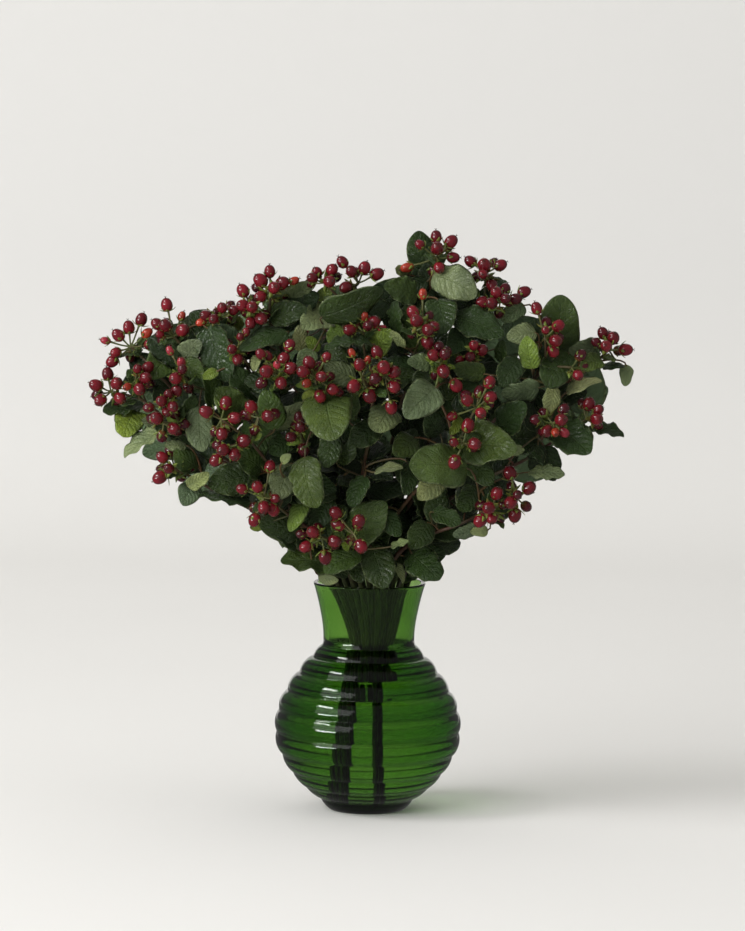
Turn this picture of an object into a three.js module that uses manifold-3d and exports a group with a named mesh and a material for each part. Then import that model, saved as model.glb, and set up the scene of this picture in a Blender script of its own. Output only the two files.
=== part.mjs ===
// Hypericum berry stems standing in a ringed green glass vase of water.
// Millimetres, +Z up. The origin is the centre of the vase's flat underside; -Y is the front.
import * as THREE from "three";
import { mergeVertices } from "three/addons/utils/BufferGeometryUtils.js";
import Module from "manifold-3d";

const wasm = await Module();
wasm.setup();

// ---------------------------------------------------------------- driving dimensions
const VASE_HEIGHT = 200;
const VASE_SEGMENTS = 24;
const RIM_OUTER = 49;
const RIM_INNER = 45;
const WATER_TOP = 142;
const WATER_GAP = 0.4;
const FLOOR_TOP = 6;
const STEM_RADIUS = 2.0;
const STEM_TIP_RADIUS = 1.3;
const TWIG_RADIUS = 1.1;
const SLOT_PITCH = 4.9;
const SEAT_GAP = 0.3;
const CLEARANCE = 0.3;
const LEAF_WIDTH_SHARE = 0.7;
const LEAF_OUTLINE = [[0.22, 0.88], [0.6, 0.86]];
const LEAF_ARCH = 0.06;
const LEAF_KEEL = 0.8;
const TRIANGLE_REACH = 1.155;
const STALK_RADIUS = 0.8;
const STALK_ROOT = 0.65;
const LONGEST_STALK = 85;
const SMALLEST_LEAF = 215;
const BERRY_LENGTH = 12.2;
const BERRY_RADIUS = 5.25;
const SMALLEST_BERRY = 0.77;
const PEDICEL_RADIUS = 0.7;
const HUB_RADIUS = 2.2;
const PEDUNCLE_LENGTH = 15;
const POINT_SHARE = 0.25;

// The crown of leaves and berries is laid out on an egg-shaped surface, front half and back half.
const CROWN = { x: 246, z: 168, front: 118, back: 108, middle: 342 };
const LAYER_DEPTH = 17;
const EYE = new THREE.Vector3(0, -4200, 716);

// Outer grooves between the rings of the vase, as [height, radius], from the neck down, and how far
// the ring below each groove stands out, as a share of its own chord.
const GROOVES = [
  [144.5, 40.6], [134, 48.4], [120, 59.8], [104, 70.1], [87, 77.2],
  [68.2, 79.2], [48.5, 74.2], [33, 65.2], [20, 53.9], [10, 40.6],
];
const RING_BULGES = [0.11, 0.165, 0.165, 0.175, 0.165, 0.17, 0.125, 0.1, 0.09];
const FOOT_OUTER = [[0, 32.5], [2.4, 35.8], [6, 38.8]];
const NECK_OUTER = [
  [199.4, RIM_OUTER], [192, 46.8], [184, 44.7], [175, 42.7], [166, 41], [157, 39.9], [149, 39.7],
];
const INNER_WALL = [
  [184, 40.4], [166, 36.8], [150, 35.6], [141, 36.4], [118, 54.2], [96, 67.2], [68, 73.4],
  [45, 67.6], [22, 50], [10.5, 36], [FLOOR_TOP, 29],
];

// Radius of the bundle of stems, as a multiple of its width at the waist, by height.
const BUNDLE = [
  [5, 1.3], [60, 1.05], [125, 1.12], [141, 1.3], [166, 1.75], [200, 2.75],
];
const BUNDLE_PARTING = [[5, 6], [60, 5], [125, 1], [141, 0], [166, 0], [200, 0]];
const BUNDLE_SHIFT = [[5, -2], [60, -2], [125, 2], [141, 3], [166, 3], [200, 0]];

// Each leafy stem's place in the bundle as [across, row]; a row is half a pitch out of step with the
// next. A third value is the height of its foot, for a short stem that hangs in the bundle.
const STEM_SLOTS = [
  [-2.5, 1], [-2, 0], [-1, 0], [-2.5, -1, 104], [-1.5, -1], [-1, -2, 98], [-1.5, 1, 92], [-0.5, 1, 88],
  [0, 0, 90], [0, -2, 102], [-0.5, -1, 96], [0.5, 1], [1.5, 1, 106], [0.5, -1], [1, 0], [2, 0, 101],
  [1.5, -1, 108], [1, -2, 99], [-1, 2, 110], [0, 2, 97], [1, 2, 103], [2.5, 1, 112],
];

// Berry clusters. Each row: the stem that bears it, whether it ends that stem, the layer behind the
// crown's surface, the hubs as [x, z] and the berries as [x, z, size], seen from the front on the
// plane through the vase's axis.
const FRONT_CLUSTERS = [
  [1, 1, 0.4, [[-210, 403]], [[-201, 427, 1], [-212, 420, 1], [-221, 413, 1.02], [-232, 408, 0.75],
    [-196, 415, 0.9], [-193, 405, 0.95], [-223, 398, 0.85], [-226, 390, 1]]],
  [3, 1, 0.8, [[-173, 413]], [[-187, 423, 1], [-180, 422, 1.05], [-166, 430, 0.75], [-165, 418, 1.1],
    [-185, 414, 0.7], [-179, 440, 1]]],
  [2, 1, 0.2, [[-227, 364], [-206, 373]], [[-230, 379, 1], [-240, 369, 1.05], [-222, 371, 1.05],
    [-219, 358, 1], [-236, 356, 1], [-213, 368, 0.75], [-202, 366, 1.05], [-204, 384, 0.75],
    [-195, 385, 1], [-197, 376, 1.02]]],
  [3, 0, 0.3, [[-164, 379]], [[-171, 376, 1.05], [-166, 390, 0.85], [-176, 400, 0.7], [-165, 384, 0.85]]],
  [2, 0, 0, [[-177, 354], [-181, 337]], [[-170, 365, 0.95], [-177, 362, 0.8], [-183, 356, 0.95],
    [-173, 351, 0.95], [-178, 347, 0.9], [-194, 350, 0.85], [-187, 341, 1.1], [-172, 332, 1.05],
    [-163, 336, 0.85]]],
  [4, 1, 0.5, [[-171, 297]], [[-182, 307, 0.95], [-175, 313, 0.95], [-176, 297, 0.9], [-184, 289, 1.1]]],
  [5, 1, 0, [[-131, 341], [-122, 317], [-98, 343]], [[-127, 355, 1.05], [-144, 347, 1.05],
    [-119, 342, 1.05], [-130, 328, 1], [-111, 322, 1.1], [-129, 314, 1.05], [-119, 310, 1.05],
    [-135, 305, 1.05], [-105, 352, 1.05], [-90, 344, 1.05]]],
  [6, 1, 0.2, [[-93, 273]], [[-88, 300, 0.95], [-112, 280, 0.9], [-99, 282, 0.95], [-93, 264, 1.05],
    [-85, 262, 1.05], [-101, 253, 1.02], [-83, 272, 0.8]]],
  [10, 1, 0, [[-42, 238], [-14, 242]], [[-30, 260, 1.05], [-28, 250, 1.1], [-50, 243, 1.05],
    [-31, 235, 1.05], [-56, 230, 1], [-39, 221, 1.1], [-60, 241, 0.8], [-10, 253, 1.1], [-8, 231, 1.1]]],
  [8, 1, 0.4, [[-104, 437], [-89, 452]], [[-113, 453, 1.05], [-113, 440, 1.05], [-105, 439, 1],
    [-98, 462, 1.15], [-90, 470, 0.95], [-98, 448, 1], [-86, 456, 1.05], [-79, 460, 1.1],
    [-69, 462, 0.8], [-106, 425, 0.95], [-97, 429, 1.05]]],
  [7, 1, 0.8, [[-133, 430]], [[-145, 431, 0.95], [-138, 428, 0.9], [-131, 438, 0.9], [-121, 436, 0.85],
    [-149, 425, 0.8], [-136, 434, 0.7]]],
  [7, 0, 0.6, [[-117, 403]], [[-110, 417, 0.7], [-115, 413, 0.65], [-122, 402, 0.85], [-117, 393, 0.95]]],
  [8, 0, 0, [[-84, 382]], [[-97, 398, 0.85], [-91, 396, 0.85], [-77, 394, 1.05], [-92, 383, 1.1],
    [-72, 406, 0.95], [-71, 386, 1.05], [-83, 389, 0.75], [-79, 373, 1], [-96, 373, 0.95]]],
  [9, 0, 0, [[-50, 378]], [[-55, 391, 1.05], [-60, 383, 1.05], [-44, 379, 0.95], [-57, 373, 0.85],
    [-40, 396, 0.8], [-34, 368, 0.95], [-45, 362, 1], [-29, 366, 0.8]]],
  [11, 1, 0, [[-9, 379], [11, 381]], [[-11, 390, 1], [-16, 371, 1.1], [-2, 363, 1.15], [-18, 400, 0.7],
    [-4, 394, 0.65], [4, 401, 1], [10, 388, 1.15], [3, 378, 1], [19, 384, 1.05], [19, 371, 1.05],
    [17, 353, 1.05]]],
  [6, 0, 1.6, [[-62, 329]], [[-63, 343, 0.95], [-62, 335, 0.95], [-59, 315, 1], [-70, 326, 0.9]]],
  [9, 1, 0.5, [[-43, 461], [-13, 461]], [[-49, 470, 0.85], [-53, 465, 0.9], [-36, 472, 1],
    [-38, 462, 1.05], [-27, 479, 0.95], [-24, 457, 1], [-19, 471, 0.95], [-8, 474, 1.05], [3, 469, 1.05]]],
  [11, 0, 1.2, [[-8, 419]], [[-20, 420, 1], [-7, 432, 0.7], [1, 427, 1.05], [-4, 424, 0.9],
    [8, 422, 0.65]]],
  [12, 1, 0.2, [[55, 484]], [[40, 495, 0.8], [54, 502, 0.95], [67, 498, 1.05], [55, 492, 1.1],
    [69, 484, 0.95], [29, 475, 0.95], [57, 475, 0.95]]],
  [13, 1, 0.4, [[97, 471], [110, 446]], [[84, 481, 0.95], [96, 478, 1.15], [95, 470, 0.85],
    [110, 478, 1], [103, 460, 1], [107, 454, 1], [95, 446, 1], [103, 445, 1], [115, 449, 0.9],
    [124, 449, 0.95], [131, 455, 1]]],
  [12, 0, 0, [[43, 424]], [[35, 436, 1.05], [38, 429, 1.1], [48, 421, 1.05], [53, 424, 0.9],
    [48, 410, 1.1], [43, 452, 0.8]]],
  [14, 0, 0.3, [[60, 393]], [[53, 399, 1], [62, 385, 1.1], [58, 406, 0.9], [63, 400, 0.95],
    [73, 373, 1.1], [54, 365, 0.85]]],
  [13, 0, 1.4, [[87, 400]], [[95, 404, 1], [76, 395, 0.75], [85, 398, 0.9], [88, 408, 0.85]]],
  [14, 1, 0, [[91, 354], [80, 323]], [[102, 376, 1], [103, 363, 1], [83, 360, 1], [95, 349, 0.95],
    [70, 346, 0.8], [84, 338, 1.1], [90, 322, 1.05], [72, 323, 0.75], [73, 306, 1.1]]],
  [15, 1, 0.3, [[150, 416], [173, 390]], [[142, 441, 0.95], [161, 426, 1], [150, 422, 0.7],
    [159, 413, 1.05], [157, 404, 1], [179, 383, 0.9]]],
  [16, 1, 0, [[206, 406]], [[200, 420, 0.95], [209, 416, 1.05], [203, 409, 1], [220, 406, 1.05],
    [194, 412, 0.8]]],
  [17, 1, 0.6, [[187, 345]], [[189, 358, 1.05], [197, 353, 0.9], [196, 345, 1.05]]],
  [17, 0, 0, [[158, 341]], [[167, 353, 0.9], [165, 344, 1.05], [153, 334, 1], [160, 333, 0.8],
    [168, 333, 0.85], [143, 344, 0.9]]],
  [18, 1, 0.2, [[106, 267], [128, 275]], [[110, 279, 1.05], [103, 266, 1.1], [96, 255, 1.1],
    [106, 257, 0.95], [121, 297, 1.1], [138, 284, 1.1], [122, 271, 1.1], [126, 260, 1.1],
    [128, 278, 0.8]]],
];

// Clusters on the far side: [stem, ends it, layer, hub x, hub z, berries].
const BACK_CLUSTERS = [
  [19, 1, 0, -138, 398, 7], [19, 0, 0, -112, 318, 6], [20, 1, 0, -48, 408, 7], [20, 0, 0, -30, 322, 6],
  [21, 1, 0, 62, 402, 7], [22, 1, 0, 142, 388, 7], [22, 0, 0, 96, 312, 6],
];

// Leaves on the near side. Each row: base x, base z, tip x, tip z, width as seen, layer behind the
// crown's surface and tone (0 deep, 1 mid, 2 bright, 3 silvery, 4 pale underside), on the same plane.
const FRONT_LEAVES = [
  [-172, 404, -193, 375, 30, 1.4, 1], [-160, 402, -160, 431, 18, 1.6, 3], [-163, 392, -149, 409, 22, 0.9, 3],
  [-163, 392, -147, 377, 18, 1.2, 1], [-170, 394, -172, 412, 9, 1.3, 3], [-144, 421, -124, 374, 29, 0.9, 0],
  [-116, 402, -141, 423, 24, 1.3, 3], [-114, 419, -126, 432, 14, 1.8, 2], [-134, 383, -148, 376, 10, 0.5, 2],
  [-140, 350, -146, 386, 14, 1, 1], [-112, 338, -136, 368, 31, 0.9, 1], [-101, 356, -121, 386, 28, 1.7, 0],
  [-198, 352, -234, 346, 16, 1.2, 0], [-206, 349, -216, 324, 28, 0.9, 2], [-179, 332, -215, 306, 17, 0.5, 4],
  [-184, 340, -200, 338, 12, 1.4, 3], [-161, 318, -180, 317, 11, 0.6, 3], [-150, 352, -147, 312, 26, 1.1, 3],
  [-136, 330, -147, 314, 12, 0.9, 2], [-150, 298, -172, 312, 21, 0.9, 1], [-160, 282, -141, 294, 12, 0.3, 4],
  [-152, 284, -164, 265, 20, 0.3, 3], [-104, 268, -150, 274, 15, 0.7, 0], [-100, 292, -142, 283, 30, 1.2, 0],
  [-95, 296, -118, 311, 26, 1.3, 1], [-84, 332, -93, 367, 24, 1, 1], [-86, 332, -59, 356, 13, 1.4, 3],
  [-71, 303, -81, 272, 29, 0.4, 3], [-78, 303, -70, 311, 8, 0.2, 4], [-58, 309, -47, 264, 28, 1.1, 1],
  [-60, 247, -97, 250, 27, 1, 0], [-58, 271, -70, 243, 16, 1.5, 2], [-93, 249, -105, 246, 9, 0.7, 2],
  [-37, 275, -50, 244, 22, 1.5, 0], [-21, 234, 14, 270, 34, 0.9, 1], [-26, 214, -78, 217, 25, 0.6, 1],
  [-8, 224, -40, 208, 20, 0.9, 1], [-45, 205, -27, 201, 8, 0.2, 4], [-64, 228, -85, 241, 9, 0.9, 0],
  [1, 232, 14, 194, 30, 0.4, 0], [36, 226, 61, 202, 30, 0.5, 0], [18, 231, 34, 236, 7, 0.3, 4],
  [95, 250, 72, 242, 8, 0.9, 3], [103, 246, 87, 245, 10, 0.7, 4], [84, 301, 33, 303, 39, 0.3, 1],
  [79, 321, 127, 317, 38, 0.3, 1], [112, 335, 134, 358, 27, 0.9, 0], [86, 305, 106, 286, 21, 1, 0],
  [61, 290, 41, 273, 21, 0.8, 4], [38, 327, 20, 311, 24, 0.9, 1], [56, 371, 29, 344, 31, 0.4, 3],
  [70, 367, 49, 342, 25, 0.9, 0], [18, 353, 4, 331, 28, 0.5, 3], [-40, 364, -31, 324, 44, 0.6, 1],
  [6, 338, -19, 321, 24, 1.4, 0], [-14, 377, -42, 389, 22, 0.6, 3], [0, 408, -42, 402, 13, 0.9, 0],
  [4, 402, 17, 420, 22, 1.4, 2], [-26, 422, -38, 408, 16, 1.6, 2], [-38, 432, -62, 421, 27, 1.5, 4],
  [-61, 401, -64, 424, 14, 1.6, 4], [-48, 400, -57, 414, 12, 1.8, 2], [-86, 438, -54, 461, 18, 0.9, 3],
  [-90, 429, -57, 438, 22, 0.9, 0], [-45, 431, 8, 457, 22, 0.6, 0], [-48, 445, -36, 456, 14, 1.3, 2],
  [-74, 418, -116, 401, 22, 0.5, 0], [-100, 397, -103, 383, 9, 0.6, 4], [-51, 402, -64, 385, 17, 1, 3],
  [-60, 358, -50, 368, 9, 0.9, 2], [45, 468, 38, 507, 25, 0.9, 0], [30, 469, 19, 474, 12, 1.4, 4],
  [38, 450, 9, 459, 24, 0.9, 1], [52, 469, 90, 451, 31, 0.4, 3], [56, 448, 62, 417, 27, 0.9, 0],
  [38, 402, 30, 444, 27, 0.9, 1], [22, 412, 20, 446, 8, 1.5, 0], [28, 405, 16, 420, 5, 0.6, 4],
  [71, 433, 114, 416, 29, 0.9, 0], [84, 420, 66, 401, 22, 1.4, 0], [99, 467, 118, 456, 9, 0.9, 0],
  [131, 444, 112, 429, 17, 1, 3], [142, 420, 116, 415, 19, 0.5, 3], [139, 388, 134, 417, 18, 0.3, 2],
  [128, 397, 112, 372, 23, 0.9, 0], [113, 392, 113, 413, 10, 1.5, 0], [159, 401, 164, 453, 38, 1, 1],
  [171, 402, 151, 373, 31, 0.8, 0], [199, 410, 170, 404, 16, 1, 3], [199, 397, 180, 389, 17, 0.5, 1],
  [200, 391, 220, 391, 9, 0.4, 0], [221, 393, 220, 374, 12, 0.3, 4], [169, 368, 200, 378, 15, 0.5, 4],
  [159, 373, 152, 348, 15, 0.8, 4], [146, 372, 112, 366, 14, 0.8, 3], [161, 340, 191, 315, 34, 0.6, 0],
  [186, 334, 220, 330, 12, 0.4, 0], [178, 345, 184, 321, 15, 1, 1], [137, 298, 169, 296, 14, 0.4, 4],
  [132, 320, 123, 313, 9, 0.6, 4], [130, 316, 150, 304, 6, 0.6, 0], [134, 343, 144, 317, 23, 1.5, 0],
  [3, 296, 28, 300, 9, 1.1, 4], [32, 305, 30, 276, 15, 1.6, 0], [93, 285, 78, 263, 22, 1, 0],
  [54, 262, 79, 252, 17, 0.9, 0], [50, 253, 36, 229, 23, 1.5, 0], [-34, 331, -40, 299, 21, 1.4, 0],
  [-5, 293, -17, 265, 17, 1.6, 0], [98, 383, 70, 389, 15, 0.9, 1], [96, 385, 84, 350, 30, 1.3, 0],
  [52, 391, 30, 393, 16, 0.5, 3], [51, 387, 36, 373, 17, 1, 0], [58, 375, 54, 393, 11, 0.7, 1],
  [76, 347, 68, 330, 8, 0.3, 2], [-70, 327, -88, 311, 21, 1.6, 0], [-96, 336, -106, 300, 25, 1.6, 1],
  [-163, 338, -154, 362, 15, 0.9, 1], [-204, 371, -213, 383, 11, 1, 1], [-205, 349, -217, 356, 12, 1.7, 0],
  [-176, 366, -190, 356, 18, 1.8, 0], [-30, 305, -14, 322, 18, 1.9, 0], [12, 262, 26, 240, 18, 1.7, 0],
  [60, 330, 48, 350, 22, 1.8, 0], [-24, 345, -12, 362, 22, 1.6, 0], [104, 325, 96, 342, 20, 1.9, 0],
];

// Leaves inside the crown and on its far side come from a seeded scatter.
const INNER_LEAVES = { count: 14, x: 150, z: 78, seed: 411 };
const BACK_LEAVES = { count: 88, x: 196, y: 112, z: 104, middle: 340, nearest: -0.2, seed: 97 };

// Pairs of leaves low on the stems, behind the leaves above: where the first stands over the vase's
// mouth, the step from pair to pair, and how many leaves there may be.
const PAIRED_LEAVES = { start: 7, pitch: 23, levels: 3, most: 70, length: 38, stalk: 5 };

// How far the crown reaches from its middle, by angle in degrees from +X toward +Z, the margin that
// scattered and paired leaves keep from there, and how far behind the front the paired ones stay.
const CROWN_HEART = 330;
const CROWN_REACH = [
  [-180, 229], [-165, 192], [-150, 147], [-135, 131], [-120, 138], [-105, 131], [-90, 124],
  [-75, 131], [-60, 133], [-45, 131], [-30, 149], [-15, 172], [0, 212], [15, 232], [30, 206],
  [45, 185], [60, 182], [75, 186], [90, 150], [105, 153], [120, 168], [135, 172], [150, 226],
  [165, 245], [180, 229],
];
const CROWN_MARGIN = 6;
const FRONT_MARGIN = 34;

// Steps back along the line of sight that a leaf tries in turn until it lies clear of its neighbours.
const DEPTH_STEPS = [0, 6, -6, 12, -12, 18, 25, -18, 33, 42, 52];

// ---------------------------------------------------------------- small helpers
const vec = (x, y, z) => new THREE.Vector3(x, y, z);

function randomFrom(seed) {
  let state = seed;
  return () => {
    state = (state * 1664525 + 1013904223) % 4294967296;
    return state / 4294967296;
  };
}

// The value of a [height, value] list at height z.
function along(list, z) {
  for (let i = 1; i < list.length; i++) {
    const [z0, v0] = list[i - 1];
    const [z1, v1] = list[i];
    if (z <= z1) return v0 + (v1 - v0) * Math.max(0, (z - z0) / (z1 - z0));
  }
  return list[list.length - 1][1];
}

// The point at depth y that lies on the line from the eye through (x, 0, z).
function seen(x, z, y) {
  const k = (y - EYE.y) / -EYE.y;
  return vec(EYE.x + (x - EYE.x) * k, y, EYE.z + (z - EYE.z) * k);
}

// Depth of the crown's surface at (x, z): negative in front, positive behind.
function surfaceDepth(x, z, side) {
  const u = x / CROWN.x;
  const v = (z - CROWN.middle) / CROWN.z;
  const bulge = Math.sqrt(Math.max(0, 1 - u * u - v * v));
  return side < 0 ? -CROWN.front * bulge : CROWN.back * bulge;
}

function solidOf(geometry) {
  const bare = geometry.index ? geometry.toNonIndexed() : geometry;
  const only = new THREE.BufferGeometry().setAttribute("position", bare.getAttribute("position"));
  const merged = mergeVertices(only, 1e-4);
  const faces = [];
  const index = merged.index.array;
  for (let i = 0; i < index.length; i += 3) {
    const [a, b, c] = [index[i], index[i + 1], index[i + 2]];
    if (a !== b && b !== c && c !== a) faces.push(a, b, c);
  }
  const solid = new wasm.Manifold(
    new wasm.Mesh({
      numProp: 3,
      vertProperties: merged.attributes.position.array,
      triVerts: new Uint32Array(faces),
    }),
  );
  return solid.volume() < 0 ? flipped(merged, faces) : solid;
}

function flipped(merged, faces) {
  for (let i = 0; i < faces.length; i += 3) [faces[i + 1], faces[i + 2]] = [faces[i + 2], faces[i + 1]];
  return new wasm.Manifold(
    new wasm.Mesh({
      numProp: 3,
      vertProperties: merged.attributes.position.array,
      triVerts: new Uint32Array(faces),
    }),
  );
}

function geometryOf(solid) {
  const mesh = solid.getMesh();
  const points = new Float32Array(mesh.numVert * 3);
  for (let i = 0; i < mesh.numVert; i++) {
    points.set(mesh.vertProperties.subarray(i * mesh.numProp, i * mesh.numProp + 3), i * 3);
  }
  const geometry = new THREE.BufferGeometry();
  geometry.setAttribute("position", new THREE.BufferAttribute(points, 3));
  geometry.setIndex(new THREE.BufferAttribute(mesh.triVerts, 1));
  geometry.computeVertexNormals();
  return geometry;
}

// A closed skin through the stations, each with its centre and its two half-axes; the first and
// last are points.
function skin(stations, sides) {
  const last = stations.length - 1;
  const profile = stations.map((s, i) => new THREE.Vector2(i === 0 || i === last ? 0 : 1, i));
  const geometry = new THREE.LatheGeometry(profile, sides);
  const place = geometry.getAttribute("position");
  for (let i = 0; i < place.count; i++) {
    const { at, u, v } = stations[Math.round(place.getY(i))];
    const p = at.clone();
    if (u) p.addScaledVector(u, place.getX(i)).addScaledVector(v, place.getZ(i));
    place.setXYZ(i, p.x, p.y, p.z);
  }
  return solidOf(geometry);
}

// A round bar through the points, with one radius for each, closed by a short point at both ends.
function bar(points, radii, sides) {
  const last = points.length - 1;
  const frames = ringFrames(points);
  const stations = points.map((p, i) => ({
    at: p,
    u: frames[i].u.clone().multiplyScalar(radii[i]),
    v: frames[i].v.clone().multiplyScalar(radii[i]),
  }));
  const start = points[0].clone().addScaledVector(frames[0].t, -radii[0] * POINT_SHARE);
  const end = points[last].clone().addScaledVector(frames[last].t, radii[last] * POINT_SHARE);
  return skin([{ at: start }, ...stations, { at: end }], sides);
}

function ringFrames(points) {
  const frames = [];
  let u = null;
  points.forEach((p, i) => {
    const before = points[Math.max(0, i - 1)];
    const after = points[Math.min(points.length - 1, i + 1)];
    const t = after.clone().sub(before).normalize();
    if (!u) u = Math.abs(t.z) < 0.9 ? vec(0, 0, 1) : vec(1, 0, 0);
    u = u.clone().addScaledVector(t, -u.dot(t)).normalize();
    frames.push({ u, v: t.clone().cross(u), t });
  });
  return frames;
}

function bezier(a, b, c, d, t) {
  const s = 1 - t;
  return vec(0, 0, 0)
    .addScaledVector(a, s * s * s)
    .addScaledVector(b, 3 * s * s * t)
    .addScaledVector(c, 3 * s * t * t)
    .addScaledVector(d, t * t * t);
}

// ---------------------------------------------------------------- berry clusters
// Hubs, base and berries of a cluster, as points in space.
function clusterLayout(row) {
  const [stem, ends, layer, hubs, berries, side] = row;
  const hubPoints = hubs.map(([x, z]) => seen(x, z, surfaceDepth(x, z, side) + side * -LAYER_DEPTH * layer));
  const reach = hubs.length > 1 ? 1.5 : 1;
  const middle = hubPoints.reduce((sum, p) => sum.add(p), vec(0, 0, 0)).divideScalar(hubs.length);
  const outward = middle.clone().sub(vec(0, 0, 215)).normalize();
  const base = middle.clone().addScaledVector(outward, -PEDUNCLE_LENGTH * reach);
  const places = berries.map(([x, z, size]) => {
    let best = 0;
    hubs.forEach(([hx, hz], i) => {
      const d = Math.hypot(x - hx, z - hz);
      if (d < Math.hypot(x - hubs[best][0], z - hubs[best][1])) best = i;
    });
    const [hx, hz] = hubs[best];
    const away = Math.hypot(x - hx, z - hz);
    const forward = Math.sqrt(Math.max(0, 14 * 14 - away * away));
    return { hub: best, x, z, y: hubPoints[best].y + side * (2 + forward), size };
  });
  spread(places, side);
  const spots = places.map((b) => ({ hub: b.hub, at: seen(b.x, b.z, b.y), size: b.size }));
  return { stem, ends, hubs: hubPoints, base, outward, berries: spots };
}

// Berries that would sink into one another move apart along the line of sight.
function spread(places, side) {
  for (let turn = 0; turn < 4; turn++) {
    for (let i = 0; i < places.length; i++) {
      for (let j = i + 1; j < places.length; j++) {
        const [a, b] = [places[i], places[j]];
        const need = BERRY_RADIUS * (a.size + b.size) * 1.03;
        const flat = Math.hypot(a.x - b.x, a.z - b.z);
        if (flat >= need) continue;
        const wanted = Math.sqrt(need * need - flat * flat);
        const gap = a.y - b.y;
        if (Math.abs(gap) >= wanted) continue;
        const step = ((wanted - Math.abs(gap)) / 2) * (gap * side >= 0 ? side : -side);
        a.y += step;
        b.y -= step;
      }
    }
  }
}

// One berry with its stalk: a slender cone from the hub that swells into the fruit.
function berrySolid(hub, berry) {
  const axis = berry.at.clone().sub(hub).normalize();
  const half = (BERRY_LENGTH / 2) * berry.size;
  const { u, v } = ringFrames([hub, berry.at])[0];
  const ring = (shift, radius) => ({
    at: berry.at.clone().addScaledVector(axis, half * shift),
    u: u.clone().multiplyScalar(radius),
    v: v.clone().multiplyScalar(radius),
  });
  const stations = [
    { at: hub },
    ring(-0.95, PEDICEL_RADIUS),
    ring(0.1, BERRY_RADIUS * berry.size * 1.06),
    { at: berry.at.clone().addScaledVector(axis, half) },
  ];
  return skin(stations, 5);
}

// The stalk of a hub, swollen at its end where the berries' own stalks leave it.
function hubStalk(from, hub) {
  const t = hub.clone().sub(from).normalize();
  const beyond = hub.clone().addScaledVector(t, HUB_RADIUS * 0.6);
  return bar([from, hub, beyond], [TWIG_RADIUS, HUB_RADIUS, HUB_RADIUS * 0.5], 4);
}

function clusterSolid(layout) {
  const parts = [];
  const start = SEAT_GAP + (STEM_TIP_RADIUS + TWIG_RADIUS) * POINT_SHARE + 0.19;
  const foot = layout.base.clone().addScaledVector(layout.outward, start);
  const fork = foot.clone().addScaledVector(layout.outward, 3);
  const forked = layout.hubs.length > 1;
  if (forked) parts.push(bar([foot, fork], [TWIG_RADIUS, TWIG_RADIUS], 4));
  layout.hubs.forEach((hub) => parts.push(hubStalk(forked ? fork : foot, hub)));
  layout.berries
    .filter((berry) => berry.size >= SMALLEST_BERRY)
    .forEach((berry) => parts.push(berrySolid(layout.hubs[berry.hub], berry)));
  return wasm.Manifold.union(parts);
}

function backClusterRow([stem, ends, layer, x, z, count], index) {
  const random = randomFrom(1000 + index * 77);
  const berries = [];
  for (let i = 0; i < count; i++) {
    const angle = (i / (count - 1)) * 2 * Math.PI + random() * 0.5;
    const reach = i === count - 1 ? 2 : 11 + random() * 4;
    const size = 0.9 + random() * 0.2;
    berries.push([x + Math.cos(angle) * reach, z + Math.sin(angle) * reach, size]);
  }
  return [stem, ends, layer, [[x, z]], berries, 1];
}

// ---------------------------------------------------------------- stems
function slotPoint(slot, z) {
  const [across, row] = slot;
  const scale = along(BUNDLE, z);
  const x = across * SLOT_PITCH;
  const y = row * SLOT_PITCH * 0.866;
  const parted = x + along(BUNDLE_PARTING, z) * Math.tanh((x + 1.2) / 3);
  return vec(parted * scale + along(BUNDLE_SHIFT, z), y * scale, z);
}

const STEM_HEIGHTS = [5, 60, 125, 141, 166, VASE_HEIGHT];
const SHORTEST_SPAN = 8;

// Points of a stem from its foot to the base of the cluster that ends it.
function stemPath(slot, base, outward) {
  const foot = slot[2] ?? STEM_HEIGHTS[0];
  const heights = [foot, ...STEM_HEIGHTS.filter((z) => z > foot + SHORTEST_SPAN)];
  const points = heights.map((z) => slotPoint(slot, z));
  const mouth = points[points.length - 1];
  const rise = mouth.clone().sub(slotPoint(slot, 185)).normalize();
  const reach = mouth.distanceTo(base);
  const heading = outward.clone().add(vec(0, 0, 0.25)).normalize();
  const b = mouth.clone().addScaledVector(rise, reach * 0.42);
  const c = base.clone().addScaledVector(heading, -reach * 0.3);
  const steps = reach < 80 ? 3 : 4;
  for (let i = 1; i <= steps; i++) points.push(bezier(mouth, b, c, base, i / steps));
  return points;
}

const mouthOf = (points) => points.findIndex((p) => p.z >= VASE_HEIGHT);

function stemRadii(points) {
  const mouth = mouthOf(points);
  const rest = points.length - 1 - mouth;
  return points.map((p, i) => {
    const t = Math.max(0, i - mouth) / rest;
    return STEM_RADIUS + (STEM_TIP_RADIUS - STEM_RADIUS) * t;
  });
}

// The best point of a stem for a twig to leave it toward target: near, below the target, and on the
// far side of it from where the twig heads. The twig may leave the stem itself or one of its limbs.
function twigRoot(stem, target, heading) {
  let best = { cost: Infinity };
  stem.limbs.forEach(({ points, tag, share }) => {
    for (let i = 0; i < points.length - 1; i++) {
      for (let k = 0; k < 8 * share; k++) {
        const p = points[i].clone().lerp(points[i + 1], k / 8);
        if (p.z < VASE_HEIGHT + 4) continue;
        const d = p.distanceTo(target);
        const turn = 1 - target.clone().sub(p).normalize().dot(heading);
        if (turn > 1.2 || d > LONGEST_STALK) continue;
        const cost = d + Math.max(0, p.z - target.z + d * 0.45) + turn * 14;
        if (cost < best.cost) best = { root: p, cost, tag };
      }
    }
  });
  return best;
}

function sideTwig(root, base, outward) {
  const reach = root.distanceTo(base);
  const b = root.clone().add(vec(0, 0, reach * 0.3));
  const c = base.clone().addScaledVector(outward, -reach * 0.3);
  return [0, 0.33, 0.67, 1].map((t) => bezier(root, b, c, base, t));
}

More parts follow.
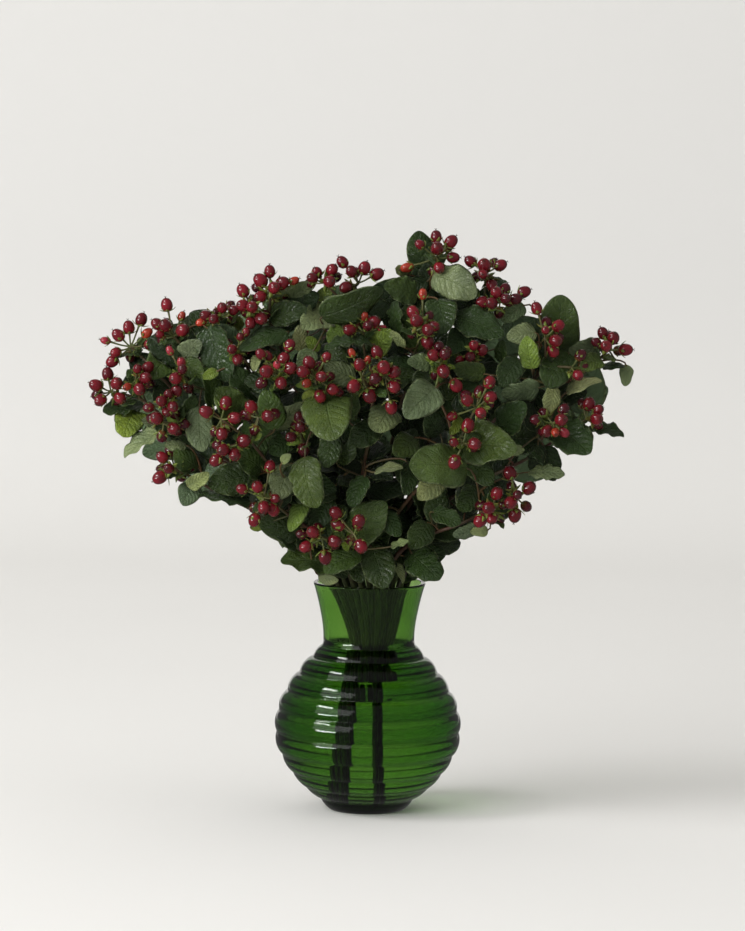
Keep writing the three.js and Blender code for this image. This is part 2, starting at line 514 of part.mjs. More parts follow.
// ---------------------------------------------------------------- leaves
// Base, tip, width and facing of a leaf from what is seen of it, shifted back by step.
function leafLayout(row, side, step) {
  const [bx, bz, tx, tz, width, layer, , y] = row;
  const length = Math.hypot(tx - bx, tz - bz);
  const mx = (bx + tx) / 2;
  const mz = (bz + tz) / 2;
  const place = y === undefined ? surfaceDepth(mx, mz, side) - side * LAYER_DEPTH * layer : y;
  const depth = place - side * step;
  let lean = length * 0.12;
  let trueWidth = width;
  let roll = 0;
  if (width > length * LEAF_WIDTH_SHARE) {
    const whole = Math.min(width / LEAF_WIDTH_SHARE, length * 1.6);
    lean = Math.sqrt(Math.max(0, whole * whole - length * length)) * 0.5 + length * 0.05;
  } else {
    trueWidth = Math.min(34, Math.max(width, length * LEAF_WIDTH_SHARE * 0.92));
    roll = Math.acos(Math.min(1, width / trueWidth)) * 0.9;
  }
  const base = seen(bx, bz, depth - side * lean);
  const tip = seen(tx, tz, depth + side * lean);
  return { base, tip, width: trueWidth, roll: mx < 0 ? roll : -roll, side };
}

// Unit axes of a leaf: along it, off its upper face, and across it.
function leafAxes(leaf) {
  const axis = leaf.tip.clone().sub(leaf.base).normalize();
  const face = leaf.face ? leaf.face.clone() : vec(0, leaf.side, 0.3);
  face.addScaledVector(axis, -face.dot(axis)).normalize();
  face.applyAxisAngle(axis, leaf.roll);
  return { axis, face, across: axis.clone().cross(face) };
}

// A leaf blade, keeled below and arched; with a root, its stalk is part of the same skin.
function leafSolid(leaf, root) {
  const { axis, face, across } = leafAxes(leaf);
  const length = leaf.base.distanceTo(leaf.tip);
  const keel = face.clone().multiplyScalar(-LEAF_KEEL);
  const stations = LEAF_OUTLINE.map(([t, share]) => ({
    at: leaf.base.clone().addScaledVector(axis, t * length)
      .addScaledVector(face, length * LEAF_ARCH * 4 * t * (1 - t)),
    u: across.clone().multiplyScalar((leaf.width / 2) * share * TRIANGLE_REACH),
    v: keel,
  }));
  if (root) stations.unshift(...stalkStations(root, leaf.base, face, axis));
  else stations.unshift({ at: leaf.base });
  stations.push({ at: leaf.tip });
  return skin(stations, 3);
}

function stalkStations(root, base, face, axis) {
  const t = base.clone().sub(root).normalize();
  const ring = (at, heading, size) => {
    const v = face.clone().addScaledVector(heading, -face.dot(heading)).normalize();
    const u = heading.clone().cross(v);
    return { at, u: u.multiplyScalar(size), v: v.multiplyScalar(-size) };
  };
  const start = root.clone().addScaledVector(t, -0.5);
  return [{ at: start }, ring(root, t, STALK_ROOT), ring(base, t.clone().add(axis).normalize(), STALK_RADIUS)];
}

function innerLeafRows() {
  const random = randomFrom(INNER_LEAVES.seed);
  const rows = [];
  for (let i = 0; i < INNER_LEAVES.count; i++) {
    const x = ((i + 0.5) / INNER_LEAVES.count - 0.5) * 2 * INNER_LEAVES.x;
    const z = CROWN.middle - 20 + (random() - 0.5) * 2 * INNER_LEAVES.z;
    const angle = Math.atan2(z - 210, x) + (random() - 0.5) * 1.2;
    const length = 40 + random() * 12;
    const layer = 4 + random() * 3;
    rows.push([x, z, x + Math.cos(angle) * length, z + Math.sin(angle) * length, 24 + random() * 6, layer, 0]);
  }
  return rows;
}

// Leaves on the far side and over the top: a spiral scatter on an egg, each as its row and depth.
function backLeafRows() {
  const random = randomFrom(BACK_LEAVES.seed);
  const rows = [];
  for (let i = 0; i < BACK_LEAVES.count; i++) {
    const high = 1 - ((i + 0.5) / BACK_LEAVES.count) * 1.7;
    const turn = i * 2.39996;
    const ring = Math.sqrt(1 - high * high);
    const deep = ring * Math.sin(turn);
    if (deep < BACK_LEAVES.nearest) continue;
    const x = BACK_LEAVES.x * ring * Math.cos(turn);
    const z = BACK_LEAVES.middle + BACK_LEAVES.z * high;
    const angle = Math.atan2(z - 250, x) + (random() - 0.5) * 1.8;
    const length = 38 + random() * 14;
    const width = length * (0.45 + random() * 0.35);
    const y = BACK_LEAVES.y * deep - random() * 18;
    const dx = (Math.cos(angle) * length) / 2;
    const dz = (Math.sin(angle) * length) / 2;
    rows.push([x - dx, z - dz, x + dx, z + dz, width, 0, random() < 0.75 ? 0 : 1, y]);
  }
  return rows;
}

// Whether a point seen at (x, z) lies within the crown's outline.
function withinOutline(x, z) {
  const angle = (Math.atan2(z - CROWN_HEART, x) * 180) / Math.PI;
  return Math.hypot(x, z - CROWN_HEART) <= along(CROWN_REACH, angle) - CROWN_MARGIN;
}

// Whether a scattered leaf keeps within the outline, at both ends and where it is widest.
function leafWithinOutline([bx, bz, tx, tz, width]) {
  const share = width / 2 / Math.hypot(tx - bx, tz - bz);
  const [mx, mz] = [bx + (tx - bx) * 0.4, bz + (tz - bz) * 0.4];
  const [sx, sz] = [(bz - tz) * share, (tx - bx) * share];
  const points = [[bx, bz], [tx, tz], [mx + sx, mz + sz], [mx - sx, mz - sz]];
  return points.every(([x, z]) => withinOutline(x, z));
}

// Whether a point lies inside the crown, behind its front and within its outline.
function insideCrown(p) {
  const k = (p.y - EYE.y) / -EYE.y;
  const x = EYE.x + (p.x - EYE.x) / k;
  const z = EYE.z + (p.z - EYE.z) / k;
  if (!withinOutline(x, z)) return false;
  return p.y > surfaceDepth(x, z, -1) + FRONT_MARGIN && p.y < surfaceDepth(x, z, 1) + CROWN_MARGIN;
}

// Points every pitch along a limb, each with the direction of the limb there.
function nodesAlong(points, start, pitch) {
  const nodes = [];
  let next = start;
  let travelled = 0;
  for (let i = 1; i < points.length; i++) {
    const step = points[i].clone().sub(points[i - 1]);
    const length = step.length();
    while (next <= travelled + length) {
      const at = points[i - 1].clone().addScaledVector(step, (next - travelled) / length);
      nodes.push({ at, heading: step.clone().normalize() });
      next += pitch;
    }
    travelled += length;
  }
  return nodes;
}

// One leaf of a pair: it leaves the limb at the given turn around it and looks up and outward.
function pairedLeaf({ at, heading }, turn) {
  const u = vec(1, 0, 0).addScaledVector(heading, -heading.x).normalize();
  const out = u.applyAxisAngle(heading, turn).addScaledVector(heading, 0.35).normalize();
  const base = at.clone().addScaledVector(out, PAIRED_LEAVES.stalk);
  const tip = base.clone().addScaledVector(out, PAIRED_LEAVES.length);
  const face = vec(at.x * 0.006, at.y < 0 ? -1 : 1, 0.7).normalize();
  return { base, tip, width: PAIRED_LEAVES.length * 0.62, roll: 0, side: -1, face };
}

// ---------------------------------------------------------------- vase and water
// The middle of the ring that bulges outward between an upper and a lower groove.
function ringPoint([z0, r0], [z1, r1], bulge) {
  return [(z0 + z1) / 2 + (r1 - r0) * bulge, (r0 + r1) / 2 + (z0 - z1) * bulge];
}

function vaseSolid() {
  const outline = [[0, 0], ...FOOT_OUTER];
  for (let i = GROOVES.length - 1; i > 0; i--) {
    outline.push(GROOVES[i]);
    outline.push(ringPoint(GROOVES[i - 1], GROOVES[i], RING_BULGES[i - 1]));
  }
  outline.push(GROOVES[0]);
  outline.push(...[...NECK_OUTER].reverse());
  outline.push([VASE_HEIGHT, RIM_OUTER - 0.8], [VASE_HEIGHT, RIM_INNER + 0.8]);
  outline.push([VASE_HEIGHT - 0.6, RIM_INNER], ...INNER_WALL, [FLOOR_TOP, 0]);
  return lathe(outline, VASE_SEGMENTS);
}

function waterSolid() {
  const outline = [[FLOOR_TOP + WATER_GAP, 0]];
  const walls = [...INNER_WALL].reverse().filter(([z]) => z < WATER_TOP);
  walls.forEach(([z, r]) => outline.push([z + WATER_GAP, r - WATER_GAP * 1.6]));
  const top = along([...INNER_WALL].reverse(), WATER_TOP);
  outline.push([WATER_TOP, top - WATER_GAP * 2.5], [WATER_TOP, 0]);
  return lathe(outline, VASE_SEGMENTS);
}

function lathe(outline, segments) {
  const profile = outline.map(([z, r]) => new THREE.Vector2(r, z));
  const geometry = new THREE.LatheGeometry(profile, segments);
  return solidOf(geometry.rotateX(Math.PI / 2));
}

// ---------------------------------------------------------------- growing the bouquet
const placed = [];

function boxesNear(a, b, room) {
  for (let i = 0; i < 3; i++) {
    if (a.min[i] - room > b.max[i] || b.min[i] - room > a.max[i]) return false;
  }
  return true;
}

// Whether a piece already placed comes too near the solid; own lists the tags it may touch.
function blocked(solid, own) {
  const box = solid.boundingBox();
  return placed.some((other) => {
    if (own.includes(other.tag) || !boxesNear(box, other.box, CLEARANCE)) return false;
    return solid.minGap(other.solid, CLEARANCE) < CLEARANCE * 0.99;
  });
}

function put(tag, node, solid) {
  placed.push({ tag, node, solid, box: solid.boundingBox() });
}

const label = (name, number) => name + "_" + String(number).padStart(2, "0");

const clusterRows = FRONT_CLUSTERS.map((row) => [...row, -1]).concat(BACK_CLUSTERS.map(backClusterRow));
const layouts = clusterRows.map(clusterLayout);

put("vase", "vase", vaseSolid());

// Main stems; those that reach the glass floor are cut level just above it.
const base = solidOf(new THREE.BoxGeometry(200, 200, 20).translate(0, 0, FLOOR_TOP + SEAT_GAP - 10));
const stems = STEM_SLOTS.map((slot, i) => {
  const end = layouts.find((l) => l.stem === i + 1 && l.ends);
  const points = stemPath(slot, end.base, end.outward);
  const solid = bar(points, stemRadii(points), 4).subtract(base);
  const node = label("leafy_stem", i + 1);
  put(node, node, solid);
  return { node, points, limbs: [{ points: points.slice(mouthOf(points)), tag: node, share: 1 }] };
});

// Clusters, and the twigs of those that don't end a stem.
layouts.forEach((layout, i) => {
  const node = label("berry_cluster", i + 1);
  put(node, node, clusterSolid(layout));
});
layouts.forEach((layout, i) => {
  if (layout.ends) return;
  const stem = stems[layout.stem - 1];
  const { root } = twigRoot(stem, layout.base, layout.outward);
  const twig = sideTwig(root, layout.base, layout.outward);
  const solid = bar(twig, [TWIG_RADIUS * 1.2, TWIG_RADIUS * 1.2, TWIG_RADIUS, TWIG_RADIUS], 4);
  const tag = "twig_" + (i + 1);
  put(tag, stem.node, solid);
  stem.limbs.push({ points: twig, tag, share: 1 });
});

// Leaves: each tries the depth steps, and for each step the stems in the order of their cost. A leaf
// that finds no room is left out.
function growLeaf({ row, side, name }) {
  for (const step of DEPTH_STEPS) {
    const leaf = leafLayout(row, side, step);
    if (blocked(leafSolid(leaf, null), [])) continue;
    const { axis } = leafAxes(leaf);
    const roots = stems
      .map((stem) => ({ stem, ...twigRoot(stem, leaf.base, axis) }))
      .filter((r) => r.root)
      .sort((a, b) => a.cost - b.cost);
    for (const { stem, root, tag } of roots) {
      const whole = leafSolid(leaf, root);
      if (blocked(whole, [stem.node, tag])) continue;
      put(name, stem.node, whole);
      stem.limbs.push({ points: [root, leaf.base], tag: name, share: 0.75 });
      return;
    }
  }
}

// Distance from where a leaf is first tried to the nearest stem: the nearest leaves grow first.
function stemDistance({ row, side }) {
  const { base } = leafLayout(row, side, 0);
  let least = Infinity;
  stems.forEach(({ limbs }) => {
    limbs[0].points.forEach((p, i, all) => {
      for (let k = 0; i > 0 && k <= 4; k++) {
        least = Math.min(least, all[i - 1].clone().lerp(p, k / 4).distanceTo(base));
      }
    });
  });
  return least;
}

const seenArea = ([bx, bz, tx, tz, width]) => Math.hypot(tx - bx, tz - bz) * width;
const named = (kind, side) => (row, i) => ({ row, side, name: kind + "_" + (i + 1) });
const leaves = [
  ...FRONT_LEAVES.map(named("front", -1)).filter(({ row }) => seenArea(row) >= SMALLEST_LEAF),
  ...backLeafRows().filter(leafWithinOutline).map(named("back", 1)),
  ...innerLeafRows().filter(leafWithinOutline).map(named("inner", -1)),
];
leaves
  .map((leaf) => ({ ...leaf, distance: stemDistance(leaf) }))
  .sort((a, b) => a.distance - b.distance)
  .forEach(growLeaf);

// Paired leaves fill in below, level by level; each turns round its limb until it finds room.
function growPaired({ stem, tag, node, turn, name }) {
  for (let attempt = 0; attempt < 4; attempt++) {
    const leaf = pairedLeaf(node, turn + attempt * 0.5);
    const middle = leaf.base.clone().lerp(leaf.tip, 0.5);
    if (!insideCrown(leaf.tip) || !insideCrown(middle)) continue;
    const whole = leafSolid(leaf, node.at);
    if (blocked(whole, [stem.node, tag])) continue;
    put(name, stem.node, whole);
    return true;
  }
  return false;
}

const limbs = stems.flatMap((stem) =>
  stem.limbs.filter(({ share }) => share === 1).map(({ points, tag }) => ({ stem, points, tag })));
let paired = 0;
for (let level = 0; level < PAIRED_LEAVES.levels; level++) {
  limbs.forEach(({ stem, points, tag }, i) => {
    const node = nodesAlong(points, PAIRED_LEAVES.start, PAIRED_LEAVES.pitch)[level];
    for (let half = 0; node && half < 2; half++) {
      if (paired >= PAIRED_LEAVES.most) return;
      const turn = Math.PI * (half + level / 2) + i * 0.7;
      if (growPaired({ stem, tag, node, turn, name: label("paired", paired + 1) })) paired++;
    }
  });
}

// ---------------------------------------------------------------- materials and scene graph
const MATERIALS = {
  glass: new THREE.MeshStandardMaterial({
    color: 0x2f7d20, roughness: 0.05, metalness: 0, transparent: true, opacity: 0.6,
  }),
  water: new THREE.MeshStandardMaterial({
    color: 0x9fc79a, roughness: 0.02, metalness: 0, transparent: true, opacity: 0.4,
  }),
  leaf: new THREE.MeshStandardMaterial({ color: 0x2c4a2c, roughness: 0.5, metalness: 0 }),
  berry: new THREE.MeshStandardMaterial({ color: 0x8c1a2c, roughness: 0.2, metalness: 0 }),
};

function meshOf(name, solid, material) {
  const mesh = new THREE.Mesh(geometryOf(solid), material.clone());
  mesh.name = name;
  return mesh;
}

const group = new THREE.Group();
const vase = placed[0].solid;
group.add(meshOf("vase", vase, MATERIALS.glass));

let water = waterSolid();
stems.forEach((stem) => {
  const points = stem.points.slice(0, mouthOf(stem.points));
  points[0] = points[0].clone().setZ(points[0].z - WATER_GAP * 1.45);
  const radii = points.map(() => STEM_RADIUS + WATER_GAP * 1.45);
  water = water.subtract(bar(points, radii, 4));
});
group.add(meshOf("water", water, MATERIALS.water));

stems.forEach((stem) => {
  const own = placed.filter((p) => p.node === stem.node).map((p) => p.solid);
  group.add(meshOf(stem.node, wasm.Manifold.union(own), MATERIALS.leaf));
});
placed
  .filter((p) => p.node.startsWith("berry_cluster"))
  .forEach((p) => group.add(meshOf(p.node, p.solid, MATERIALS.berry)));

export default group;
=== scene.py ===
import math

import bpy
import numpy as np
from mathutils import Matrix, Vector
from mathutils.kdtree import KDTree


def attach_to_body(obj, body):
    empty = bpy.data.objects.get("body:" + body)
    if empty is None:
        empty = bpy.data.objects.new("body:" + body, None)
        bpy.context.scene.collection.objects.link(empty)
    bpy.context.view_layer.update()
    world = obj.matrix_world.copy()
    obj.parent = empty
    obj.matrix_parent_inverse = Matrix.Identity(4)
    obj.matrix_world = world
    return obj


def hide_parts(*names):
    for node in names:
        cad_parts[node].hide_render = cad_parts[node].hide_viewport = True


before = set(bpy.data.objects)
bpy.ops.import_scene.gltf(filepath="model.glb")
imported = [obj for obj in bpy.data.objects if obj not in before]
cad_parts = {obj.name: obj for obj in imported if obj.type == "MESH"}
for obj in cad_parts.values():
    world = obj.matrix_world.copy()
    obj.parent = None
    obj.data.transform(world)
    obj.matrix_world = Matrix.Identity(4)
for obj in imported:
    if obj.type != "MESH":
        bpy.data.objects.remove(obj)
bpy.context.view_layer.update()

MM = 0.001

# ------------------------------------------------------------------ layout, shared with the CAD
VASE_HEIGHT = 200
RIM_OUTER = 49
RIM_INNER = 45
WATER_TOP = 142
FLOOR_TOP = 6
TWIG_RADIUS = 1.1
SLOT_PITCH = 4.9
SLOT_ROW = 0.866  # depth of a row of slots, in pitches
NECK_LEVEL = 185  # a stem's direction at the mouth is taken from here up
LEAF_WIDTH_SHARE = 0.7
LEAF_ARCH = 0.06
LONGEST_STALK = 85
TWIG_STEPS = 8  # places tried along each piece of a limb
SMALLEST_LEAF = 215  # seen length times width; the CAD has no smaller ones
BERRY_LENGTH = 12.2
BERRY_RADIUS = 5.25
PEDUNCLE_LENGTH = 15
HUB_REACH = 14  # from a hub to the middle of its berries
FANNED_FROM = 215  # clusters face away from this height on the axis
CROWN = {"x": 246, "z": 168, "front": 118, "back": 108, "middle": 342}
LAYER_DEPTH = 17
EYE = np.array([0.0, -4200.0, 716.0])

GROOVES = [
    (144.5, 40.6), (134, 48.4), (120, 59.8), (104, 70.1), (87, 77.2),
    (68.2, 79.2), (48.5, 74.2), (33, 65.2), (20, 53.9), (10, 40.6),
]
RING_BULGES = [0.11, 0.165, 0.165, 0.175, 0.165, 0.17, 0.125, 0.1, 0.09]
FOOT_OUTER = [(0, 32.5), (2.4, 35.8), (6, 38.8)]
NECK_OUTER = [
    (199.4, 49), (192, 46.8), (184, 44.7), (175, 42.7), (166, 41), (157, 39.9), (149, 39.7),
]
INNER_WALL = [
    (184, 40.4), (166, 36.8), (150, 35.6), (141, 36.4), (118, 54.2), (96, 67.2), (68, 73.4),
    (45, 67.6), (22, 50), (10.5, 36), (6, 29),
]

BUNDLE = [(5, 1.3), (60, 1.05), (125, 1.12), (141, 1.3), (166, 1.75), (200, 2.75)]
BUNDLE_PARTING = [(5, 6), (60, 5), (125, 1), (141, 0), (166, 0), (200, 0)]
BUNDLE_SHIFT = [(5, -2), (60, -2), (125, 2), (141, 3), (166, 3), (200, 0)]
STEM_HEIGHTS = [5, 60, 125, 141, 166, VASE_HEIGHT]
SHORTEST_SPAN = 8
# across and row in the bundle, and the height of the foot if the stem is a short one
STEM_SLOTS = [
    (-2.5, 1), (-2, 0), (-1, 0), (-2.5, -1, 104), (-1.5, -1), (-1, -2, 98), (-1.5, 1, 92),
    (-0.5, 1, 88), (0, 0, 90), (0, -2, 102), (-0.5, -1, 96), (0.5, 1), (1.5, 1, 106), (0.5, -1),
    (1, 0), (2, 0, 101), (1.5, -1, 108), (1, -2, 99), (-1, 2, 110), (0, 2, 97), (1, 2, 103),
    (2.5, 1, 112),
]

# stem, ends it, layer, hubs [x, z], berries [x, z, size, look]; looks: o orange, d dark (partly the berry's
# own darker red, partly painted shade deep in the crown), p pink
FRONT_CLUSTERS = [
    (1, 1, 0.4, [(-210, 403)], [(-201, 427, 1), (-212, 420, 1), (-221, 413, 1.02), (-232, 408, 0.75, "p"),
     (-196, 415, 0.9, "o"), (-193, 405, 0.95), (-223, 398, 0.85), (-226, 390, 1)]),
    (3, 1, 0.8, [(-173, 413)], [(-187, 423, 1), (-180, 422, 1.05), (-166, 430, 0.75, "o"),
     (-165, 418, 1.1), (-185, 414, 0.7), (-179, 440, 1)]),
    (2, 1, 0.2, [(-227, 364), (-206, 373)], [(-230, 379, 1), (-240, 369, 1.05), (-222, 371, 1.05),
     (-219, 358, 1), (-236, 356, 1), (-213, 368, 0.75, "o"), (-202, 366, 1.05), (-204, 384, 0.75),
     (-195, 385, 1), (-197, 376, 1.02)]),
    (3, 0, 0.3, [(-164, 379)], [(-171, 376, 1.05), (-166, 390, 0.85, "p"), (-176, 400, 0.7, "p"),
     (-165, 384, 0.85, "d")]),
    (2, 0, 0, [(-177, 354), (-181, 337)], [(-170, 365, 0.95), (-177, 362, 0.8), (-183, 356, 0.95),
     (-173, 351, 0.95), (-178, 347, 0.9), (-194, 350, 0.85), (-187, 341, 1.1), (-172, 332, 1.05),
     (-163, 336, 0.85, "d")]),
    (4, 1, 0.5, [(-171, 297)], [(-182, 307, 0.95), (-175, 313, 0.95, "d"), (-176, 297, 0.9),
     (-184, 289, 1.1)]),
    (5, 1, 0, [(-131, 341), (-122, 317), (-98, 343)], [(-127, 355, 1.05), (-144, 347, 1.05),
     (-119, 342, 1.05), (-130, 328, 1), (-111, 322, 1.1), (-129, 314, 1.05), (-119, 310, 1.05),
     (-135, 305, 1.05), (-105, 352, 1.05), (-90, 344, 1.05)]),
    (6, 1, 0.2, [(-93, 273)], [(-88, 300, 0.95), (-112, 280, 0.9), (-99, 282, 0.95), (-93, 264, 1.05),
     (-85, 262, 1.05), (-101, 253, 1.02), (-83, 272, 0.8)]),
    (10, 1, 0, [(-42, 238), (-14, 242)], [(-30, 260, 1.05), (-28, 250, 1.1), (-50, 243, 1.05),
     (-31, 235, 1.05), (-56, 230, 1), (-39, 221, 1.1), (-60, 241, 0.8, "d"), (-10, 253, 1.1),
     (-8, 231, 1.1)]),
    (8, 1, 0.4, [(-104, 437), (-89, 452)], [(-113, 453, 1.05), (-113, 440, 1.05), (-105, 439, 1),
     (-98, 462, 1.15), (-90, 470, 0.95), (-98, 448, 1), (-86, 456, 1.05), (-79, 460, 1.1),
     (-69, 462, 0.8, "o"), (-106, 425, 0.95), (-97, 429, 1.05)]),
    (7, 1, 0.8, [(-133, 430)], [(-145, 431, 0.95), (-138, 428, 0.9), (-131, 438, 0.9),
     (-121, 436, 0.85), (-149, 425, 0.8, "o"), (-136, 434, 0.7, "d")]),
    (7, 0, 0.6, [(-117, 403)], [(-110, 417, 0.7), (-115, 413, 0.65), (-122, 402, 0.85),
     (-117, 393, 0.95)]),
    (8, 0, 0, [(-84, 382)], [(-97, 398, 0.85), (-91, 396, 0.85), (-77, 394, 1.05), (-92, 383, 1.1),
     (-72, 406, 0.95), (-71, 386, 1.05), (-83, 389, 0.75, "p"), (-79, 373, 1), (-96, 373, 0.95, "d")]),
    (9, 0, 0, [(-50, 378)], [(-55, 391, 1.05), (-60, 383, 1.05), (-44, 379, 0.95),
     (-57, 373, 0.85, "o"), (-40, 396, 0.8), (-34, 368, 0.95), (-45, 362, 1), (-29, 366, 0.8, "d")]),
    (11, 1, 0, [(-9, 379), (11, 381)], [(-11, 390, 1), (-16, 371, 1.1), (-2, 363, 1.15),
     (-18, 400, 0.7, "o"), (-4, 394, 0.65, "o"), (4, 401, 1), (10, 388, 1.15), (3, 378, 1, "d"),
     (19, 384, 1.05), (19, 371, 1.05), (17, 353, 1.05)]),
    # deep in the crown: every berry here takes the dark look as painted shade
    (6, 0, 1.6, [(-62, 329)], [(-63, 343, 0.95, "d"), (-62, 335, 0.95, "d"), (-59, 315, 1, "d"),
     (-70, 326, 0.9, "d")]),
    (9, 1, 0.5, [(-43, 461), (-13, 461)], [(-49, 470, 0.85), (-53, 465, 0.9), (-36, 472, 1),
     (-38, 462, 1.05), (-27, 479, 0.95), (-24, 457, 1), (-19, 471, 0.95), (-8, 474, 1.05),
     (3, 469, 1.05)]),
    (11, 0, 1.2, [(-8, 419)], [(-20, 420, 1), (-7, 432, 0.7, "o"), (1, 427, 1.05), (-4, 424, 0.9, "d"),
     (8, 422, 0.65, "p")]),
    (12, 1, 0.2, [(55, 484)], [(40, 495, 0.8), (54, 502, 0.95), (67, 498, 1.05), (55, 492, 1.1),
     (69, 484, 0.95), (29, 475, 0.95, "o"), (57, 475, 0.95)]),
    (13, 1, 0.4, [(97, 471), (110, 446)], [(84, 481, 0.95), (96, 478, 1.15), (95, 470, 0.85),
     (110, 478, 1), (103, 460, 1), (107, 454, 1), (95, 446, 1), (103, 445, 1), (115, 449, 0.9, "d"),
     (124, 449, 0.95, "d"), (131, 455, 1)]),
    (12, 0, 0, [(43, 424)], [(35, 436, 1.05), (38, 429, 1.1), (48, 421, 1.05), (53, 424, 0.9),
     (48, 410, 1.1), (43, 452, 0.8, "o")]),
    (14, 0, 0.3, [(60, 393)], [(53, 399, 1), (62, 385, 1.1), (58, 406, 0.9, "d"), (63, 400, 0.95, "d"),
     (73, 373, 1.1), (54, 365, 0.85)]),
    (13, 0, 1.4, [(87, 400)], [(95, 404, 1), (76, 395, 0.75), (85, 398, 0.9, "d"), (88, 408, 0.85)]),
    (14, 1, 0, [(91, 354), (80, 323)], [(102, 376, 1), (103, 363, 1), (83, 360, 1), (95, 349, 0.95),
     (70, 346, 0.8), (84, 338, 1.1), (90, 322, 1.05), (72, 323, 0.75), (73, 306, 1.1)]),
    (15, 1, 0.3, [(150, 416), (173, 390)], [(142, 441, 0.95), (161, 426, 1), (150, 422, 0.7),
     (159, 413, 1.05), (157, 404, 1), (179, 383, 0.9)]),
    (16, 1, 0, [(206, 406)], [(200, 420, 0.95), (209, 416, 1.05), (203, 409, 1), (220, 406, 1.05),
     (194, 412, 0.8, "d")]),
    (17, 1, 0.6, [(187, 345)], [(189, 358, 1.05), (197, 353, 0.9), (196, 345, 1.05)]),
    (17, 0, 0, [(158, 341)], [(167, 353, 0.9, "d"), (165, 344, 1.05), (153, 334, 1),
     (160, 333, 0.8, "o"), (168, 333, 0.85, "p"), (143, 344, 0.9, "d")]),
    (18, 1, 0.2, [(106, 267), (128, 275)], [(110, 279, 1.05), (103, 266, 1.1), (96, 255, 1.1),
     (106, 257, 0.95), (121, 297, 1.1), (138, 284, 1.1), (122, 271, 1.1), (126, 260, 1.1),
     (128, 278, 0.8, "d")]),
]
BACK_CLUSTERS = [
    (19, 1, 0, -138, 398, 7), (19, 0, 0, -112, 318, 6), (20, 1, 0, -48, 408, 7),
    (20, 0, 0, -30, 322, 6), (21, 1, 0, 62, 402, 7), (22, 1, 0, 142, 388, 7), (22, 0, 0, 96, 312, 6),
]
